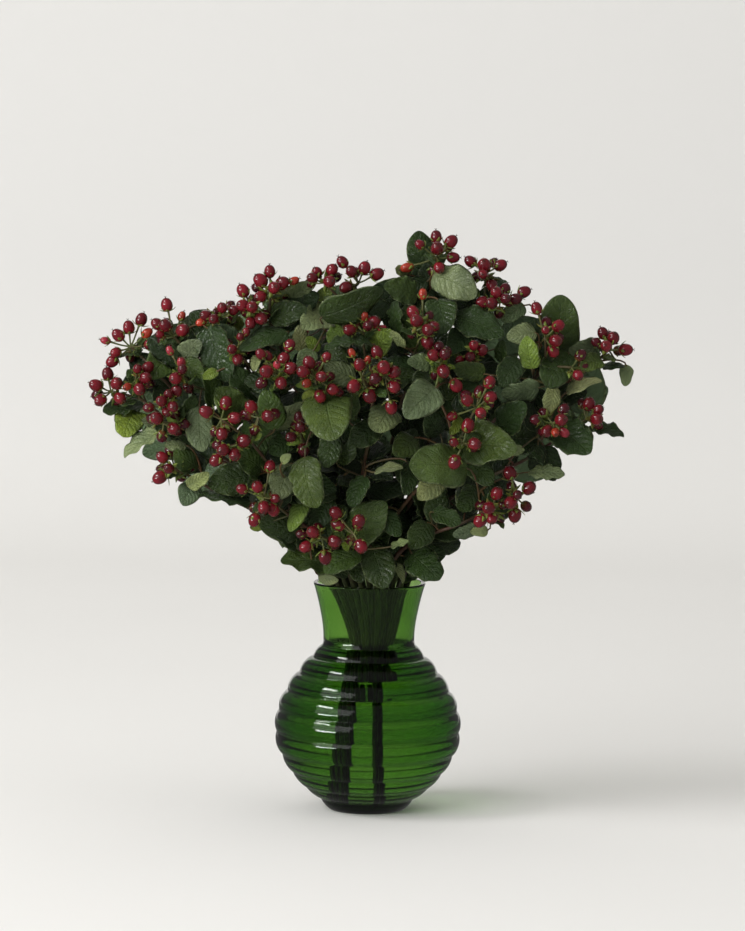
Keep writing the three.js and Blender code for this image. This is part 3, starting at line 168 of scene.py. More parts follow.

# base x, z, tip x, z, width, layer, tone (0 deep, 1 mid, 2 bright, 3 silvery as painted sheen, 4 pale
# underside)
FRONT_LEAVES = [
    (-172, 404, -193, 375, 30, 1.4, 1), (-160, 402, -160, 431, 18, 1.6, 3),
    (-163, 392, -149, 409, 22, 0.9, 3), (-163, 392, -147, 377, 18, 1.2, 1),
    (-170, 394, -172, 412, 9, 1.3, 3), (-144, 421, -124, 374, 29, 0.9, 0),
    (-116, 402, -141, 423, 24, 1.3, 3), (-114, 419, -126, 432, 14, 1.8, 2),
    (-134, 383, -148, 376, 10, 0.5, 2), (-140, 350, -146, 386, 14, 1, 1),
    (-112, 338, -136, 368, 31, 0.9, 1), (-101, 356, -121, 386, 28, 1.7, 0),
    (-198, 352, -234, 346, 16, 1.2, 0), (-206, 349, -216, 324, 28, 0.9, 2),
    (-179, 332, -215, 306, 17, 0.5, 4), (-184, 340, -200, 338, 12, 1.4, 3),
    (-161, 318, -180, 317, 11, 0.6, 3), (-150, 352, -147, 312, 26, 1.1, 3),
    (-136, 330, -147, 314, 12, 0.9, 2), (-150, 298, -172, 312, 21, 0.9, 1),
    (-160, 282, -141, 294, 12, 0.3, 4), (-152, 284, -164, 265, 20, 0.3, 3),
    (-104, 268, -150, 274, 15, 0.7, 0), (-100, 292, -142, 283, 30, 1.2, 0),
    (-95, 296, -118, 311, 26, 1.3, 1), (-84, 332, -93, 367, 24, 1, 1),
    (-86, 332, -59, 356, 13, 1.4, 3), (-71, 303, -81, 272, 29, 0.4, 3),
    (-78, 303, -70, 311, 8, 0.2, 4), (-58, 309, -47, 264, 28, 1.1, 1), (-60, 247, -97, 250, 27, 1, 0),
    (-58, 271, -70, 243, 16, 1.5, 2), (-93, 249, -105, 246, 9, 0.7, 2),
    (-37, 275, -50, 244, 22, 1.5, 0), (-21, 234, 14, 270, 34, 0.9, 1),
    (-26, 214, -78, 217, 25, 0.6, 1), (-8, 224, -40, 208, 20, 0.9, 1),
    (-45, 205, -27, 201, 8, 0.2, 4), (-64, 228, -85, 241, 9, 0.9, 0), (1, 232, 14, 194, 30, 0.4, 0),
    (36, 226, 61, 202, 30, 0.5, 0), (18, 231, 34, 236, 7, 0.3, 4), (95, 250, 72, 242, 8, 0.9, 3),
    (103, 246, 87, 245, 10, 0.7, 4), (84, 301, 33, 303, 39, 0.3, 1), (79, 321, 127, 317, 38, 0.3, 1),
    (112, 335, 134, 358, 27, 0.9, 0), (86, 305, 106, 286, 21, 1, 0), (61, 290, 41, 273, 21, 0.8, 4),
    (38, 327, 20, 311, 24, 0.9, 1), (56, 371, 29, 344, 31, 0.4, 3), (70, 367, 49, 342, 25, 0.9, 0),
    (18, 353, 4, 331, 28, 0.5, 3), (-40, 364, -31, 324, 44, 0.6, 1), (6, 338, -19, 321, 24, 1.4, 0),
    (-14, 377, -42, 389, 22, 0.6, 3), (0, 408, -42, 402, 13, 0.9, 0), (4, 402, 17, 420, 22, 1.4, 2),
    (-26, 422, -38, 408, 16, 1.6, 2), (-38, 432, -62, 421, 27, 1.5, 4),
    (-61, 401, -64, 424, 14, 1.6, 4), (-48, 400, -57, 414, 12, 1.8, 2),
    (-86, 438, -54, 461, 18, 0.9, 3), (-90, 429, -57, 438, 22, 0.9, 0),
    (-45, 431, 8, 457, 22, 0.6, 0), (-48, 445, -36, 456, 14, 1.3, 2),
    (-74, 418, -116, 401, 22, 0.5, 0), (-100, 397, -103, 383, 9, 0.6, 4),
    (-51, 402, -64, 385, 17, 1, 3), (-60, 358, -50, 368, 9, 0.9, 2), (45, 468, 38, 507, 25, 0.9, 0),
    (30, 469, 19, 474, 12, 1.4, 4), (38, 450, 9, 459, 24, 0.9, 1), (52, 469, 90, 451, 31, 0.4, 3),
    (56, 448, 62, 417, 27, 0.9, 0), (38, 402, 30, 444, 27, 0.9, 1), (22, 412, 20, 446, 8, 1.5, 0),
    (28, 405, 16, 420, 5, 0.6, 4), (71, 433, 114, 416, 29, 0.9, 0), (84, 420, 66, 401, 22, 1.4, 0),
    (99, 467, 118, 456, 9, 0.9, 0), (131, 444, 112, 429, 17, 1, 3), (142, 420, 116, 415, 19, 0.5, 3),
    (139, 388, 134, 417, 18, 0.3, 2), (128, 397, 112, 372, 23, 0.9, 0),
    (113, 392, 113, 413, 10, 1.5, 0), (159, 401, 164, 453, 38, 1, 1),
    (171, 402, 151, 373, 31, 0.8, 0), (199, 410, 170, 404, 16, 1, 3),
    (199, 397, 180, 389, 17, 0.5, 1), (200, 391, 220, 391, 9, 0.4, 0),
    (221, 393, 220, 374, 12, 0.3, 4), (169, 368, 200, 378, 15, 0.5, 4),
    (159, 373, 152, 348, 15, 0.8, 4), (146, 372, 112, 366, 14, 0.8, 3),
    (161, 340, 191, 315, 34, 0.6, 0), (186, 334, 220, 330, 12, 0.4, 0),
    (178, 345, 184, 321, 15, 1, 1), (137, 298, 169, 296, 14, 0.4, 4), (132, 320, 123, 313, 9, 0.6, 4),
    (130, 316, 150, 304, 6, 0.6, 0), (134, 343, 144, 317, 23, 1.5, 0), (3, 296, 28, 300, 9, 1.1, 4),
    (32, 305, 30, 276, 15, 1.6, 0), (93, 285, 78, 263, 22, 1, 0), (54, 262, 79, 252, 17, 0.9, 0),
    (50, 253, 36, 229, 23, 1.5, 0), (-34, 331, -40, 299, 21, 1.4, 0), (-5, 293, -17, 265, 17, 1.6, 0),
    (98, 383, 70, 389, 15, 0.9, 1), (96, 385, 84, 350, 30, 1.3, 0), (52, 391, 30, 393, 16, 0.5, 3),
    (51, 387, 36, 373, 17, 1, 0), (58, 375, 54, 393, 11, 0.7, 1), (76, 347, 68, 330, 8, 0.3, 2),
    (-70, 327, -88, 311, 21, 1.6, 0), (-96, 336, -106, 300, 25, 1.6, 1),
    (-163, 338, -154, 362, 15, 0.9, 1), (-204, 371, -213, 383, 11, 1, 1),
    (-205, 349, -217, 356, 12, 1.7, 0), (-176, 366, -190, 356, 18, 1.8, 0),
    (-30, 305, -14, 322, 18, 1.9, 0), (12, 262, 26, 240, 18, 1.7, 0), (60, 330, 48, 350, 22, 1.8, 0),
    (-24, 345, -12, 362, 22, 1.6, 0), (104, 325, 96, 342, 20, 1.9, 0),
]
# Small leaves over the mouth of the vase, in the same terms, and how far behind the middle each hangs.
MOUTH_LEAVES = [
    (-34, 222, -20, 203, 17, 0.5, 0, -42), (-16, 222, -7, 199, 18, 0.5, 0, -51),
    (20, 217, 29, 199, 8, 0.5, 4, -51), (46, 222, 37, 203, 17, 0.5, 0, -38),
    (-24, 226, -34, 205, 18, 0.5, 1, -30), (30, 228, 22, 205, 20, 0.5, 0, -32),
    (-8, 230, -2, 207, 20, 0.5, 0, -22), (12, 228, 9, 206, 20, 0.5, 0, -20),
    (40, 222, 26, 208, 18, 0.5, 0, 4), (-42, 222, -30, 207, 18, 0.5, 0, 2),
]
INNER_LEAVES = {"count": 14, "x": 150, "z": 78, "seed": 411}
BACK_LEAVES = {"count": 88, "x": 196, "y": 112, "z": 104, "middle": 340, "nearest": -0.2, "seed": 97}
PAIRED_LEAVES = {"start": 7, "pitch": 23, "levels": 3, "length": 38, "stalk": 5}
CROWN_HEART = 330
CROWN_REACH = [
    (-180, 229), (-165, 192), (-150, 147), (-135, 131), (-120, 138), (-105, 131), (-90, 124),
    (-75, 131), (-60, 133), (-45, 131), (-30, 149), (-15, 172), (0, 212), (15, 232), (30, 206),
    (45, 185), (60, 182), (75, 186), (90, 150), (105, 153), (120, 168), (135, 172), (150, 226),
    (165, 245), (180, 229),
]
CROWN_MARGIN = 6
TIP_MATCH = 0.03  # a leaf is the CAD's when its tip is this near
LEAF_ROOTED = 1.5  # how far a stalk reaches into its leaf
GOLDEN_ANGLE = 2.39996
DEPTH_STEPS = [0, 6, -6, 12, -12, 18, 25, -18, 33, 42, 52]


def vec(x, y, z):
    return np.array([x, y, z], float)


def length_of(v):
    return math.sqrt(float(v @ v))


def unit(v):
    return v / length_of(v)


def random_from(seed):
    state = [seed]

    def draw():
        state[0] = (state[0] * 1664525 + 1013904223) % 4294967296
        return state[0] / 4294967296
    return draw


def along(table, z):
    for (z0, v0), (z1, v1) in zip(table, table[1:]):
        if z <= z1:
            return v0 + (v1 - v0) * max(0.0, (z - z0) / (z1 - z0))
    return table[-1][1]


def view_width(y):
    """How wide the view is at depth y, for each unit on the plane through the axis."""
    return (y - EYE[1]) / -EYE[1]


def seen(x, z, y):
    """The point at depth y on the line from the eye through (x, 0, z)."""
    k = view_width(y)
    return vec(EYE[0] + (x - EYE[0]) * k, y, EYE[2] + (z - EYE[2]) * k)


def flat(p):
    """The x and z where the line from the eye to p crosses the plane through the axis."""
    k = view_width(p[1])
    return np.array([EYE[0] + (p[0] - EYE[0]) / k, EYE[2] + (p[2] - EYE[2]) / k])


def surface_depth(x, z, side):
    """The y of the crown's rounded surface at x and z, in front (side -1) or behind (1)."""
    u = x / CROWN["x"]
    v = (z - CROWN["middle"]) / CROWN["z"]
    bulge = math.sqrt(max(0.0, 1 - u * u - v * v))
    return -CROWN["front"] * bulge if side < 0 else CROWN["back"] * bulge


def bezier(a, b, c, d, t):
    s = 1 - t
    return a * (s * s * s) + b * (3 * s * s * t) + c * (3 * s * t * t) + d * (t * t * t)


# ------------------------------------------------------------------ clusters
def cluster_layout(row):
    stem, ends, layer, hubs, berries, side = row
    hub_points = [seen(x, z, surface_depth(x, z, side) - side * LAYER_DEPTH * layer) for x, z in hubs]
    reach = 1.5 if len(hubs) > 1 else 1
    middle = sum(hub_points) / len(hubs)
    outward = unit(middle - vec(0, 0, FANNED_FROM))
    base = middle - outward * (PEDUNCLE_LENGTH * reach)
    places = []
    for x, z, size, *look in berries:
        gaps = [math.hypot(x - hx, z - hz) for hx, hz in hubs]
        hub = gaps.index(min(gaps))
        forward = math.sqrt(max(0.0, HUB_REACH ** 2 - gaps[hub] ** 2))
        y = hub_points[hub][1] + side * (2 + forward)
        places.append({"hub": hub, "x": x, "z": z, "y": y, "size": size, "look": (look or ["r"])[0]})
    spread(places, side)
    for p in places:
        p["at"] = seen(p["x"], p["z"], p["y"])
    return {"stem": stem, "ends": ends, "hubs": hub_points, "base": base, "outward": outward,
            "berries": places}


def spread(places, side):
    """Move berries that would touch apart in depth."""
    for _ in range(4):
        for i, a in enumerate(places):
            for b in places[i + 1:]:
                need = BERRY_RADIUS * (a["size"] + b["size"]) * 1.03
                flat = math.hypot(a["x"] - b["x"], a["z"] - b["z"])
                if flat >= need:
                    continue
                wanted = math.sqrt(need * need - flat * flat)
                gap = a["y"] - b["y"]
                if abs(gap) >= wanted:
                    continue
                step = (wanted - abs(gap)) / 2 * (side if gap * side >= 0 else -side)
                a["y"] += step
                b["y"] -= step


def back_cluster_row(row, index):
    stem, ends, layer, x, z, count = row
    draw = random_from(1000 + index * 77)
    berries = []
    for i in range(count):
        angle = i / (count - 1) * 2 * math.pi + draw() * 0.5
        reach = 2 if i == count - 1 else 11 + draw() * 4
        size = 0.9 + draw() * 0.2
        berries.append((x + math.cos(angle) * reach, z + math.sin(angle) * reach, size))
    return (stem, ends, layer, [(x, z)], berries, 1)


# ------------------------------------------------------------------ stems
def slot_point(slot, z):
    across, row = slot[:2]
    scale = along(BUNDLE, z)
    x = across * SLOT_PITCH
    parted = x + along(BUNDLE_PARTING, z) * math.tanh((x + 1.2) / 3)
    return vec(parted * scale + along(BUNDLE_SHIFT, z), row * SLOT_PITCH * SLOT_ROW * scale, z)


def stem_feet(slot):
    """Points of a stem from its foot up to the mouth of the vase."""
    foot = slot[2] if len(slot) > 2 else STEM_HEIGHTS[0]
    return [slot_point(slot, z) for z in [foot] + [z for z in STEM_HEIGHTS if z > foot + SHORTEST_SPAN]]


def mouth_of(points):
    return next(i for i, p in enumerate(points) if p[2] >= VASE_HEIGHT)


def stem_path(slot, base, outward):
    points = stem_feet(slot)
    mouth = points[-1]
    rise = unit(mouth - slot_point(slot, NECK_LEVEL))
    reach = length_of(base - mouth)
    heading = unit(outward + vec(0, 0, 0.25))
    b = mouth + rise * (reach * 0.42)
    c = base - heading * (reach * 0.3)
    steps = 3 if reach < 80 else 4
    return points + [bezier(mouth, b, c, base, i / steps) for i in range(1, steps + 1)]


def twig_root(stem, target, heading):
    """Where a twig to the target best leaves the stem: the cost, the point and the limb's number."""
    best = (math.inf, None, None)
    for number, limb in enumerate(stem["limbs"]):
        for a, b in zip(limb["points"], limb["points"][1:]):
            for k in range(int(TWIG_STEPS * limb["share"])):
                p = a + (b - a) * (k / TWIG_STEPS)
                if p[2] < VASE_HEIGHT + 4:
                    continue
                away = target - p
                d = length_of(away)
                turn = 1 - float(away @ heading) / d
                if turn > 1.2 or d > LONGEST_STALK:
                    continue
                cost = d + max(0.0, p[2] - target[2] + d * 0.45) + turn * 14
                if cost < best[0]:
                    best = (cost, p, number)
    return best


def side_twig(root, base, outward):
    reach = length_of(base - root)
    b = root + vec(0, 0, reach * 0.3)
    c = base - outward * (reach * 0.3)
    return [bezier(root, b, c, base, t) for t in (0, 0.33, 0.67, 1)]


# ------------------------------------------------------------------ leaves
def leaf_layout(row, side, step):
    bx, bz, tx, tz, width, layer = row[:6]
    length = math.hypot(tx - bx, tz - bz)
    mx = (bx + tx) / 2
    mz = (bz + tz) / 2
    place = row[7] if len(row) > 7 else surface_depth(mx, mz, side) - side * LAYER_DEPTH * layer
    depth = place - side * step
    lean = length * 0.12
    true_width = width
    roll = 0.0
    if width > length * LEAF_WIDTH_SHARE:
        whole = min(width / LEAF_WIDTH_SHARE, length * 1.6)
        lean = math.sqrt(max(0.0, whole * whole - length * length)) * 0.5 + length * 0.05
    else:
        true_width = min(34, max(width, length * LEAF_WIDTH_SHARE * 0.92))
        roll = math.acos(min(1.0, width / true_width)) * 0.9
    base = seen(bx, bz, depth - side * lean)
    tip = seen(tx, tz, depth + side * lean)
    return {"base": base, "tip": tip, "width": true_width, "roll": roll if mx < 0 else -roll,
            "face": vec(0, side, 0.3)}


def blade(base, heading, length, width, face):
    """A leaf from the base along the heading."""
    return {"base": base, "tip": base + heading * length, "width": width, "roll": 0, "face": face}


def leaf_axes(leaf):
    """The directions along a leaf, out of its face and across it."""
    axis = unit(leaf["tip"] - leaf["base"])
    face = unit(leaf["face"] - axis * float(leaf["face"] @ axis))
    turn = leaf["roll"]
    face = face * math.cos(turn) + np.cross(axis, face) * math.sin(turn)
    return axis, face, np.cross(axis, face)


def inner_leaf_rows():
    draw = random_from(INNER_LEAVES["seed"])
    rows = []
    for i in range(INNER_LEAVES["count"]):
        x = ((i + 0.5) / INNER_LEAVES["count"] - 0.5) * 2 * INNER_LEAVES["x"]
        z = CROWN["middle"] - 20 + (draw() - 0.5) * 2 * INNER_LEAVES["z"]
        angle = math.atan2(z - 210, x) + (draw() - 0.5) * 1.2
        length = 40 + draw() * 12
        layer = 4 + draw() * 3
        width = 24 + draw() * 6
        rows.append((x, z, x + math.cos(angle) * length, z + math.sin(angle) * length, width, layer, 0))
    return rows


def back_leaf_rows():
    draw = random_from(BACK_LEAVES["seed"])
    rows = []
    for i in range(BACK_LEAVES["count"]):
        high = 1 - (i + 0.5) / BACK_LEAVES["count"] * 1.7
        turn = i * GOLDEN_ANGLE
        ring = math.sqrt(1 - high * high)
        deep = ring * math.sin(turn)
        if deep < BACK_LEAVES["nearest"]:
            continue
        x = BACK_LEAVES["x"] * ring * math.cos(turn)
        z = BACK_LEAVES["middle"] + BACK_LEAVES["z"] * high
        angle = math.atan2(z - 250, x) + (draw() - 0.5) * 1.8
        length = 38 + draw() * 14
        width = length * (0.45 + draw() * 0.35)
        y = BACK_LEAVES["y"] * deep - draw() * 18
        dx = math.cos(angle) * length / 2
        dz = math.sin(angle) * length / 2
        rows.append((x - dx, z - dz, x + dx, z + dz, width, 0, 0 if draw() < 0.75 else 1, y))
    return rows


def outline_room(x, z):
    """How far the outline of the crown lies beyond the point."""
    angle = math.degrees(math.atan2(z - CROWN_HEART, x))
    return along(CROWN_REACH, angle) - math.hypot(x, z - CROWN_HEART)


def within_outline(x, z):
    return outline_room(x, z) >= CROWN_MARGIN


def leaf_within_outline(row):
    bx, bz, tx, tz, width = row[:5]
    share = width / 2 / math.hypot(tx - bx, tz - bz)
    mx, mz = bx + (tx - bx) * 0.4, bz + (tz - bz) * 0.4
    sx, sz = (bz - tz) * share, (tx - bx) * share
    corners = ((bx, bz), (tx, tz), (mx + sx, mz + sz), (mx - sx, mz - sz))
    return all(within_outline(x, z) for x, z in corners)


def inside_crown(p, front_margin):
    x, z = flat(p)
    if not within_outline(x, z):
        return False
    return surface_depth(x, z, -1) + front_margin < p[1] < surface_depth(x, z, 1) + CROWN_MARGIN


def nodes_along(points, start, pitch):
    """Points every pitch along a limb, each with the direction of the limb there."""
    nodes, travelled, ahead = [], 0.0, start
    for a, b in zip(points, points[1:]):
        length = length_of(b - a)
        while ahead <= travelled + length:
            nodes.append((a + (b - a) * ((ahead - travelled) / length), (b - a) / length))
            ahead += pitch
        travelled += length
    return nodes


def turned(v, axis, angle):
    return (v * math.cos(angle) + np.cross(axis, v) * math.sin(angle)
            + axis * float(axis @ v) * (1 - math.cos(angle)))


def paired_leaf(at, heading, turn, length, stalk):
    u = unit(vec(1, 0, 0) - heading * heading[0])
    out = unit(turned(u, heading, turn) + heading * 0.35)
    face = unit(vec(at[0] * 0.006, -1 if at[1] < 0 else 1, 0.7))
    return blade(at + out * stalk, out, length, length * 0.62, face)


# ------------------------------------------------------------------ mesh builder
TUBE_CAP = 0.6  # how far a tube's rounded end stands out, in radii


def tube_faces(rings, sides):
    """Faces round a stack of rings, with a fan to each of the two points after them at its ends."""
    faces = []
    for i in range(rings - 1):
        for k in range(sides):
            a, b = i * sides + k, i * sides + (k + 1) % sides
            faces.append((a, b, b + sides, a + sides))
    last, end = (rings - 1) * sides, rings * sides
    for k in range(sides):
        j = (k + 1) % sides
        faces += [(end, j, k), (end + 1, last + k, last + j)]
    return faces


def blade_faces(rows, cols):
    """Faces of a closed blade. Its points are the grid of its top; below, the grid without the two edge
    columns, which both share; and a point at the base and one at the tip."""
    over = rows * cols
    base_at = over + rows * (cols - 2)

    def upper(i, j):
        return i * cols + j

    def lower(i, j):
        return upper(i, j) if j in (0, cols - 1) else over + i * (cols - 2) + j - 1
    faces = []
    for i in range(rows - 1):
        for j in range(cols - 1):
            faces.append((upper(i, j), upper(i, j + 1), upper(i + 1, j + 1), upper(i + 1, j)))
            faces.append((lower(i, j), lower(i + 1, j), lower(i + 1, j + 1), lower(i, j + 1)))
    end = rows - 1
    for j in range(cols - 1):
        faces += [(base_at, upper(0, j + 1), upper(0, j)), (base_at, lower(0, j), lower(0, j + 1))]
        faces += [(base_at + 1, upper(end, j), upper(end, j + 1)),
                  (base_at + 1, lower(end, j + 1), lower(end, j))]
    return faces


def around(u, v, angle):
    return u * math.cos(angle) + v * math.sin(angle)


def put(name, data):
    piece = bpy.data.objects.new(name, data)
    bpy.context.scene.collection.objects.link(piece)
    return piece


class Skin:
    """Gathers closed sheets and tubes into one mesh, with a tint and a uv at each vertex."""

    def __init__(self):
        self.points, self.faces, self.tints, self.uvs, self.slots = [], [], [], [], []
        self.count = 0

    def add(self, points, faces, tint, uv, slots=None):
        points = np.asarray(points, float)
        self.points.append(points)
        self.faces.extend(tuple(self.count + v for v in face) for face in faces)
        self.slots.extend(slots or [0] * len(faces))
        self.tints.append(np.broadcast_to(np.asarray(tint, float), (len(points), 4)))
        self.uvs.append(np.asarray(uv, float))
        self.count += len(points)

    def tube(self, points, radii, sides, tint):
        """A round bar through the points, rounded off at both ends."""
        points = [np.asarray(p, float) for p in points]
        rings, uv = [], []
        travelled = 0.0
        last = len(points) - 1
        for i, p in enumerate(points):
            t = unit(points[min(last, i + 1)] - points[max(0, i - 1)])
            if i == 0:
                u = vec(0, 0, 1) if abs(t[2]) < 0.9 else vec(1, 0, 0)
                first = p - t * radii[0] * TUBE_CAP
            else:
                travelled += length_of(p - points[i - 1])
            u = unit(u - t * float(u @ t))
            v = np.cross(t, u)
            for k in range(sides):
                angle = 2 * math.pi * k / sides
                rings.append(p + around(u, v, angle) * radii[i])
                uv.append((k / sides, travelled * MM))
        rings += [first, points[-1] + t * radii[-1] * TUBE_CAP]
        uv += [(0, 0), (0, travelled * MM)]
        self.add(rings, tube_faces(len(points), sides), tint, uv)

    def make(self, name, materials):
        mesh = bpy.data.meshes.new(name)
        points = np.concatenate(self.points) * MM
        mesh.from_pydata(points.tolist(), [], self.faces)
        mesh.update()
        tint = mesh.color_attributes.new("tint", "FLOAT_COLOR", "POINT")
        tint.data.foreach_set("color", np.concatenate(self.tints).astype(np.float32).ravel())
        layer = mesh.uv_layers.new(name="layout")
        loops = np.zeros(len(mesh.loops), np.int32)
        mesh.loops.foreach_get("vertex_index", loops)
        layer.data.foreach_set("uv", np.concatenate(self.uvs).astype(np.float32)[loops].ravel())
        for material in materials:
            mesh.materials.append(material)
        mesh.polygons.foreach_set("material_index", np.array(self.slots, np.int32))
        mesh.polygons.foreach_set("use_smooth", np.full(len(mesh.polygons), True))
        return put(name, mesh)


def settle(piece, node):
    """Every piece is part of the one body; it stands for the CAD node, which is hidden."""
    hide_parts(node)
    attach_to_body(piece, "root")


def smooth_path(points, steps):
    """Points of a smooth curve through the given ones."""
    points = [np.asarray(p, float) for p in points]
    ends = [points[0] * 2 - points[1]] + points + [points[-1] * 2 - points[-2]]
    path = []
    for a, b, c, d in zip(ends, ends[1:], ends[2:], ends[3:]):
        for k in range(steps):
            t = k / steps
            path.append(0.5 * (2 * b + (c - a) * t + (2 * a - 5 * b + 4 * c - d) * t * t
                               + (3 * b - 3 * c + d - a) * t ** 3))
    path.append(points[-1])
    return path


def nearest(path, p):
    gaps = [length_of(q - p) for q in path]
    return path[gaps.index(min(gaps))]


# ------------------------------------------------------------------ one leaf
LEAF_STATIONS = np.array([0.008, 0.03, 0.07, 0.12, 0.18, 0.25, 0.32, 0.4, 0.48, 0.56, 0.64, 0.72,
                          0.79, 0.85, 0.9, 0.94, 0.97, 0.99])
LEAF_WIDTHS = [(0, 0), (0.02, 0.38), (0.06, 0.62), (0.14, 0.84), (0.25, 0.97), (0.38, 1.0), (0.5, 0.985),
               (0.62, 0.92), (0.74, 0.8), (0.84, 0.63), (0.91, 0.46), (0.96, 0.3), (0.985, 0.18), (1.0, 0.0)]
LEAF_COLUMNS = 11
INNER_COLUMNS = 7
LEAF_THICKNESS = 0.45
WAVE_TURN = 6.28
# Colours of leaves. Tone 3 is a greyer green that paints the sheen of silvery leaves. The last is painted
# shade: a darker green for leaves inside the crown, which are coarser too.
TONES = [
    (0.029, 0.052, 0.012), (0.066, 0.108, 0.022), (0.190, 0.270, 0.034),
    (0.150, 0.205, 0.098), (0.420, 0.460, 0.170), (0.013, 0.024, 0.006),
]
PALE_TONE = 4
SHADED_INNER_TONE = 5


def add_leaf(skin, leaf, tone, draw):
    """A blade with a fold, droop, twist, curl and waved edge of its own. Its tint's alpha is 1 below."""
    axis, face, across = leaf_axes(leaf)
    length = length_of(leaf["tip"] - leaf["base"])
    half = leaf["width"] / 2
    stations, cols = LEAF_STATIONS, LEAF_COLUMNS
    if tone == SHADED_INNER_TONE:
        stations, cols = LEAF_STATIONS[::2], INNER_COLUMNS
    t = stations[:, None]
    share = np.interp(stations, *zip(*LEAF_WIDTHS))[:, None]
    s = np.linspace(-1, 1, cols)[None, :]
    fold = 0.04 + draw() * 0.22
    droop = (draw() - 0.3) * 0.16
    twist = (draw() - 0.5) * 0.9
    curl = (draw() - 0.3) * 0.16
    wave = 0.022 + draw() * 0.055
    waves = 1.6 + draw() * 2.2
    phase = draw() * WAVE_TURN
    bend = (draw() - 0.5) * 0.08
    x = s * share * half * (1 + 0.05 * np.sin(t * 9 + phase))
    lift = length * LEAF_ARCH * 4 * t * (1 - t) + np.abs(x) * fold - length * droop * s * s * share
    lift = lift + length * wave * np.sin(WAVE_TURN * waves * t + phase + s * 0.7) * s * s * share
    lift = lift + x * np.sin(twist * (t - 0.3)) + length * curl * (t - t ** 3)
    side = length * bend * 4 * t * (1 - t)
    top = (leaf["base"] + (t * length)[..., None] * axis + (x + side)[..., None] * across
           + lift[..., None] * face)
    thick = LEAF_THICKNESS * (1 + 1.2 * np.exp(-(s * 9) ** 2)) * np.ones_like(t)
    low = top - (thick * (1 - s * s * 0.5))[..., None] * face
    rows = len(stations)
    inner = low[:, 1:-1]
    uv_top = np.stack(np.broadcast_arrays((s + 1) / 2, t), -1)
    points = np.concatenate([top.reshape(-1, 3), inner.reshape(-1, 3), [leaf["base"], leaf["tip"]]])
    uv = np.concatenate([uv_top.reshape(-1, 2), uv_top[:, 1:-1].reshape(-1, 2), [(0.5, 0), (0.5, 1)]])
    colour = np.array(TONES[tone]) * (0.82 + draw() * 0.36)
    colour = colour * np.array([0.9 + draw() * 0.25, 1.0, 0.85 + draw() * 0.3])
    tint = np.zeros((len(points), 4))
    tint[:, :3] = colour
    tint[rows * cols:-2, 3] = 1.0
    if tone == PALE_TONE:
        tint[:, 3] = 0.5
    skin.add(points, blade_faces(rows, cols), tint, uv)


# ------------------------------------------------------------------ one berry with its calyx
# d is a darker red: partly the berries' own, partly painted shade on berries deep in the crown or behind
# others
BERRY_LOOKS = {
    "r": (0.125, 0.006, 0.011), "d": (0.055, 0.004, 0.008),
    "o": (0.34, 0.036, 0.016), "p": (0.27, 0.024, 0.036),
}
BERRY_RINGS = 12
BERRY_SIDES = 20
SEPALS = 5
STYLES = 3


def add_berry(skin, at, axis, size, look, draw):
    """An egg-shaped fruit with three faint lobes."""
    half = BERRY_LENGTH / 2 * size
    radius = BERRY_RADIUS * size
    if look in "op":
        half *= 1.04
        radius *= 0.88
    u = unit(np.cross(axis, vec(0.3, 0.2, 1)))
    v = np.cross(axis, u)
    spin = draw() * 2.1
    points, uv = [], []
    for i in range(1, BERRY_RINGS + 1):
        a = -math.cos(math.pi * i / (BERRY_RINGS + 1))
        r = radius * (1 - a * a) ** 0.45 * (1 - 0.07 * a)
        for k in range(BERRY_SIDES):
            angle = 2 * math.pi * k / BERRY_SIDES
            lobe = 1 - 0.022 * (1 + math.cos(3 * (angle + spin))) * (1 - abs(a)) ** 0.5
            points.append(at + axis * (a * half) + around(u, v, angle) * (r * lobe))
            uv.append((k / BERRY_SIDES, (a + 1) / 2))
    points += [at - axis * half, at + axis * half]
    uv += [(0, 0), (0, 1)]
    colour = np.array(BERRY_LOOKS[look]) * (0.75 + draw() * 0.55)
    skin.add(points, tube_faces(BERRY_RINGS, BERRY_SIDES), (*colour, 1.0), uv)
    return u, v, half


def add_sepal(skin, root, out, up, length, width, tint):
    """A small pointed leaf that spreads from the root and curls up."""
    side = unit(np.cross(out, up))
    rows, cols = 6, 3
    top, uv = [], []
    for i in range(rows):
        t = (i + 0.4) / rows
        w = width / 2 * math.sin(math.pi * (0.12 + 0.88 * t) ** 0.8) ** 0.8
        middle = root + out * (length * t) + up * (length * 0.55 * t * t)
        for s in (-1, 0, 1):
            top.append(middle + side * (w * s) + up * (abs(s) * w * 0.25))
            uv.append(((s + 1) / 2, t))
    low = [p - up * 0.35 for p in top[1::cols]]
    uv += [(0.5, i / rows) for i in range(rows)] + [(0.5, 0), (0.5, 1)]
    tip = root + out * length + up * (length * 0.55)
    skin.add(top + low + [root, tip], blade_faces(rows, cols), tint, uv)


def add_calyx(green, dark, at, axis, u, v, half, size, draw):
    """The sepals at the foot of a berry and the dry styles at its tip."""
    foot = at - axis * (half * 0.93)
    shade = 0.7 + draw() * 0.7
    tint = (0.150 * shade, 0.205 * shade, 0.036 * shade, 1.0)
    spread_out = 0.1 + draw() * 0.6
    for k in range(SEPALS):
        angle = 2 * math.pi * (k + draw() * 0.3) / SEPALS
        out = around(u, v, angle)
        rise = unit(out + axis * (spread_out - 0.35))
        up = unit(axis - rise * float(axis @ rise))
        add_sepal(green, foot, rise, up, (6.6 + draw() * 2.4) * size, 4.4 * size, tint)
    top = at + axis * (half * 0.97)
    for k in range(STYLES):
        angle = 2 * math.pi * (k + draw() * 0.3) / STYLES
        out = around(u, v, angle)
        path = [top - axis * 0.8, top + axis * 0.8 + out * 0.3, top + axis * 1.6 + out * (0.7 + draw())]
        dark.tube(path, [0.3, 0.22, 0.12], 5, (0.030, 0.012, 0.010, 1.0))


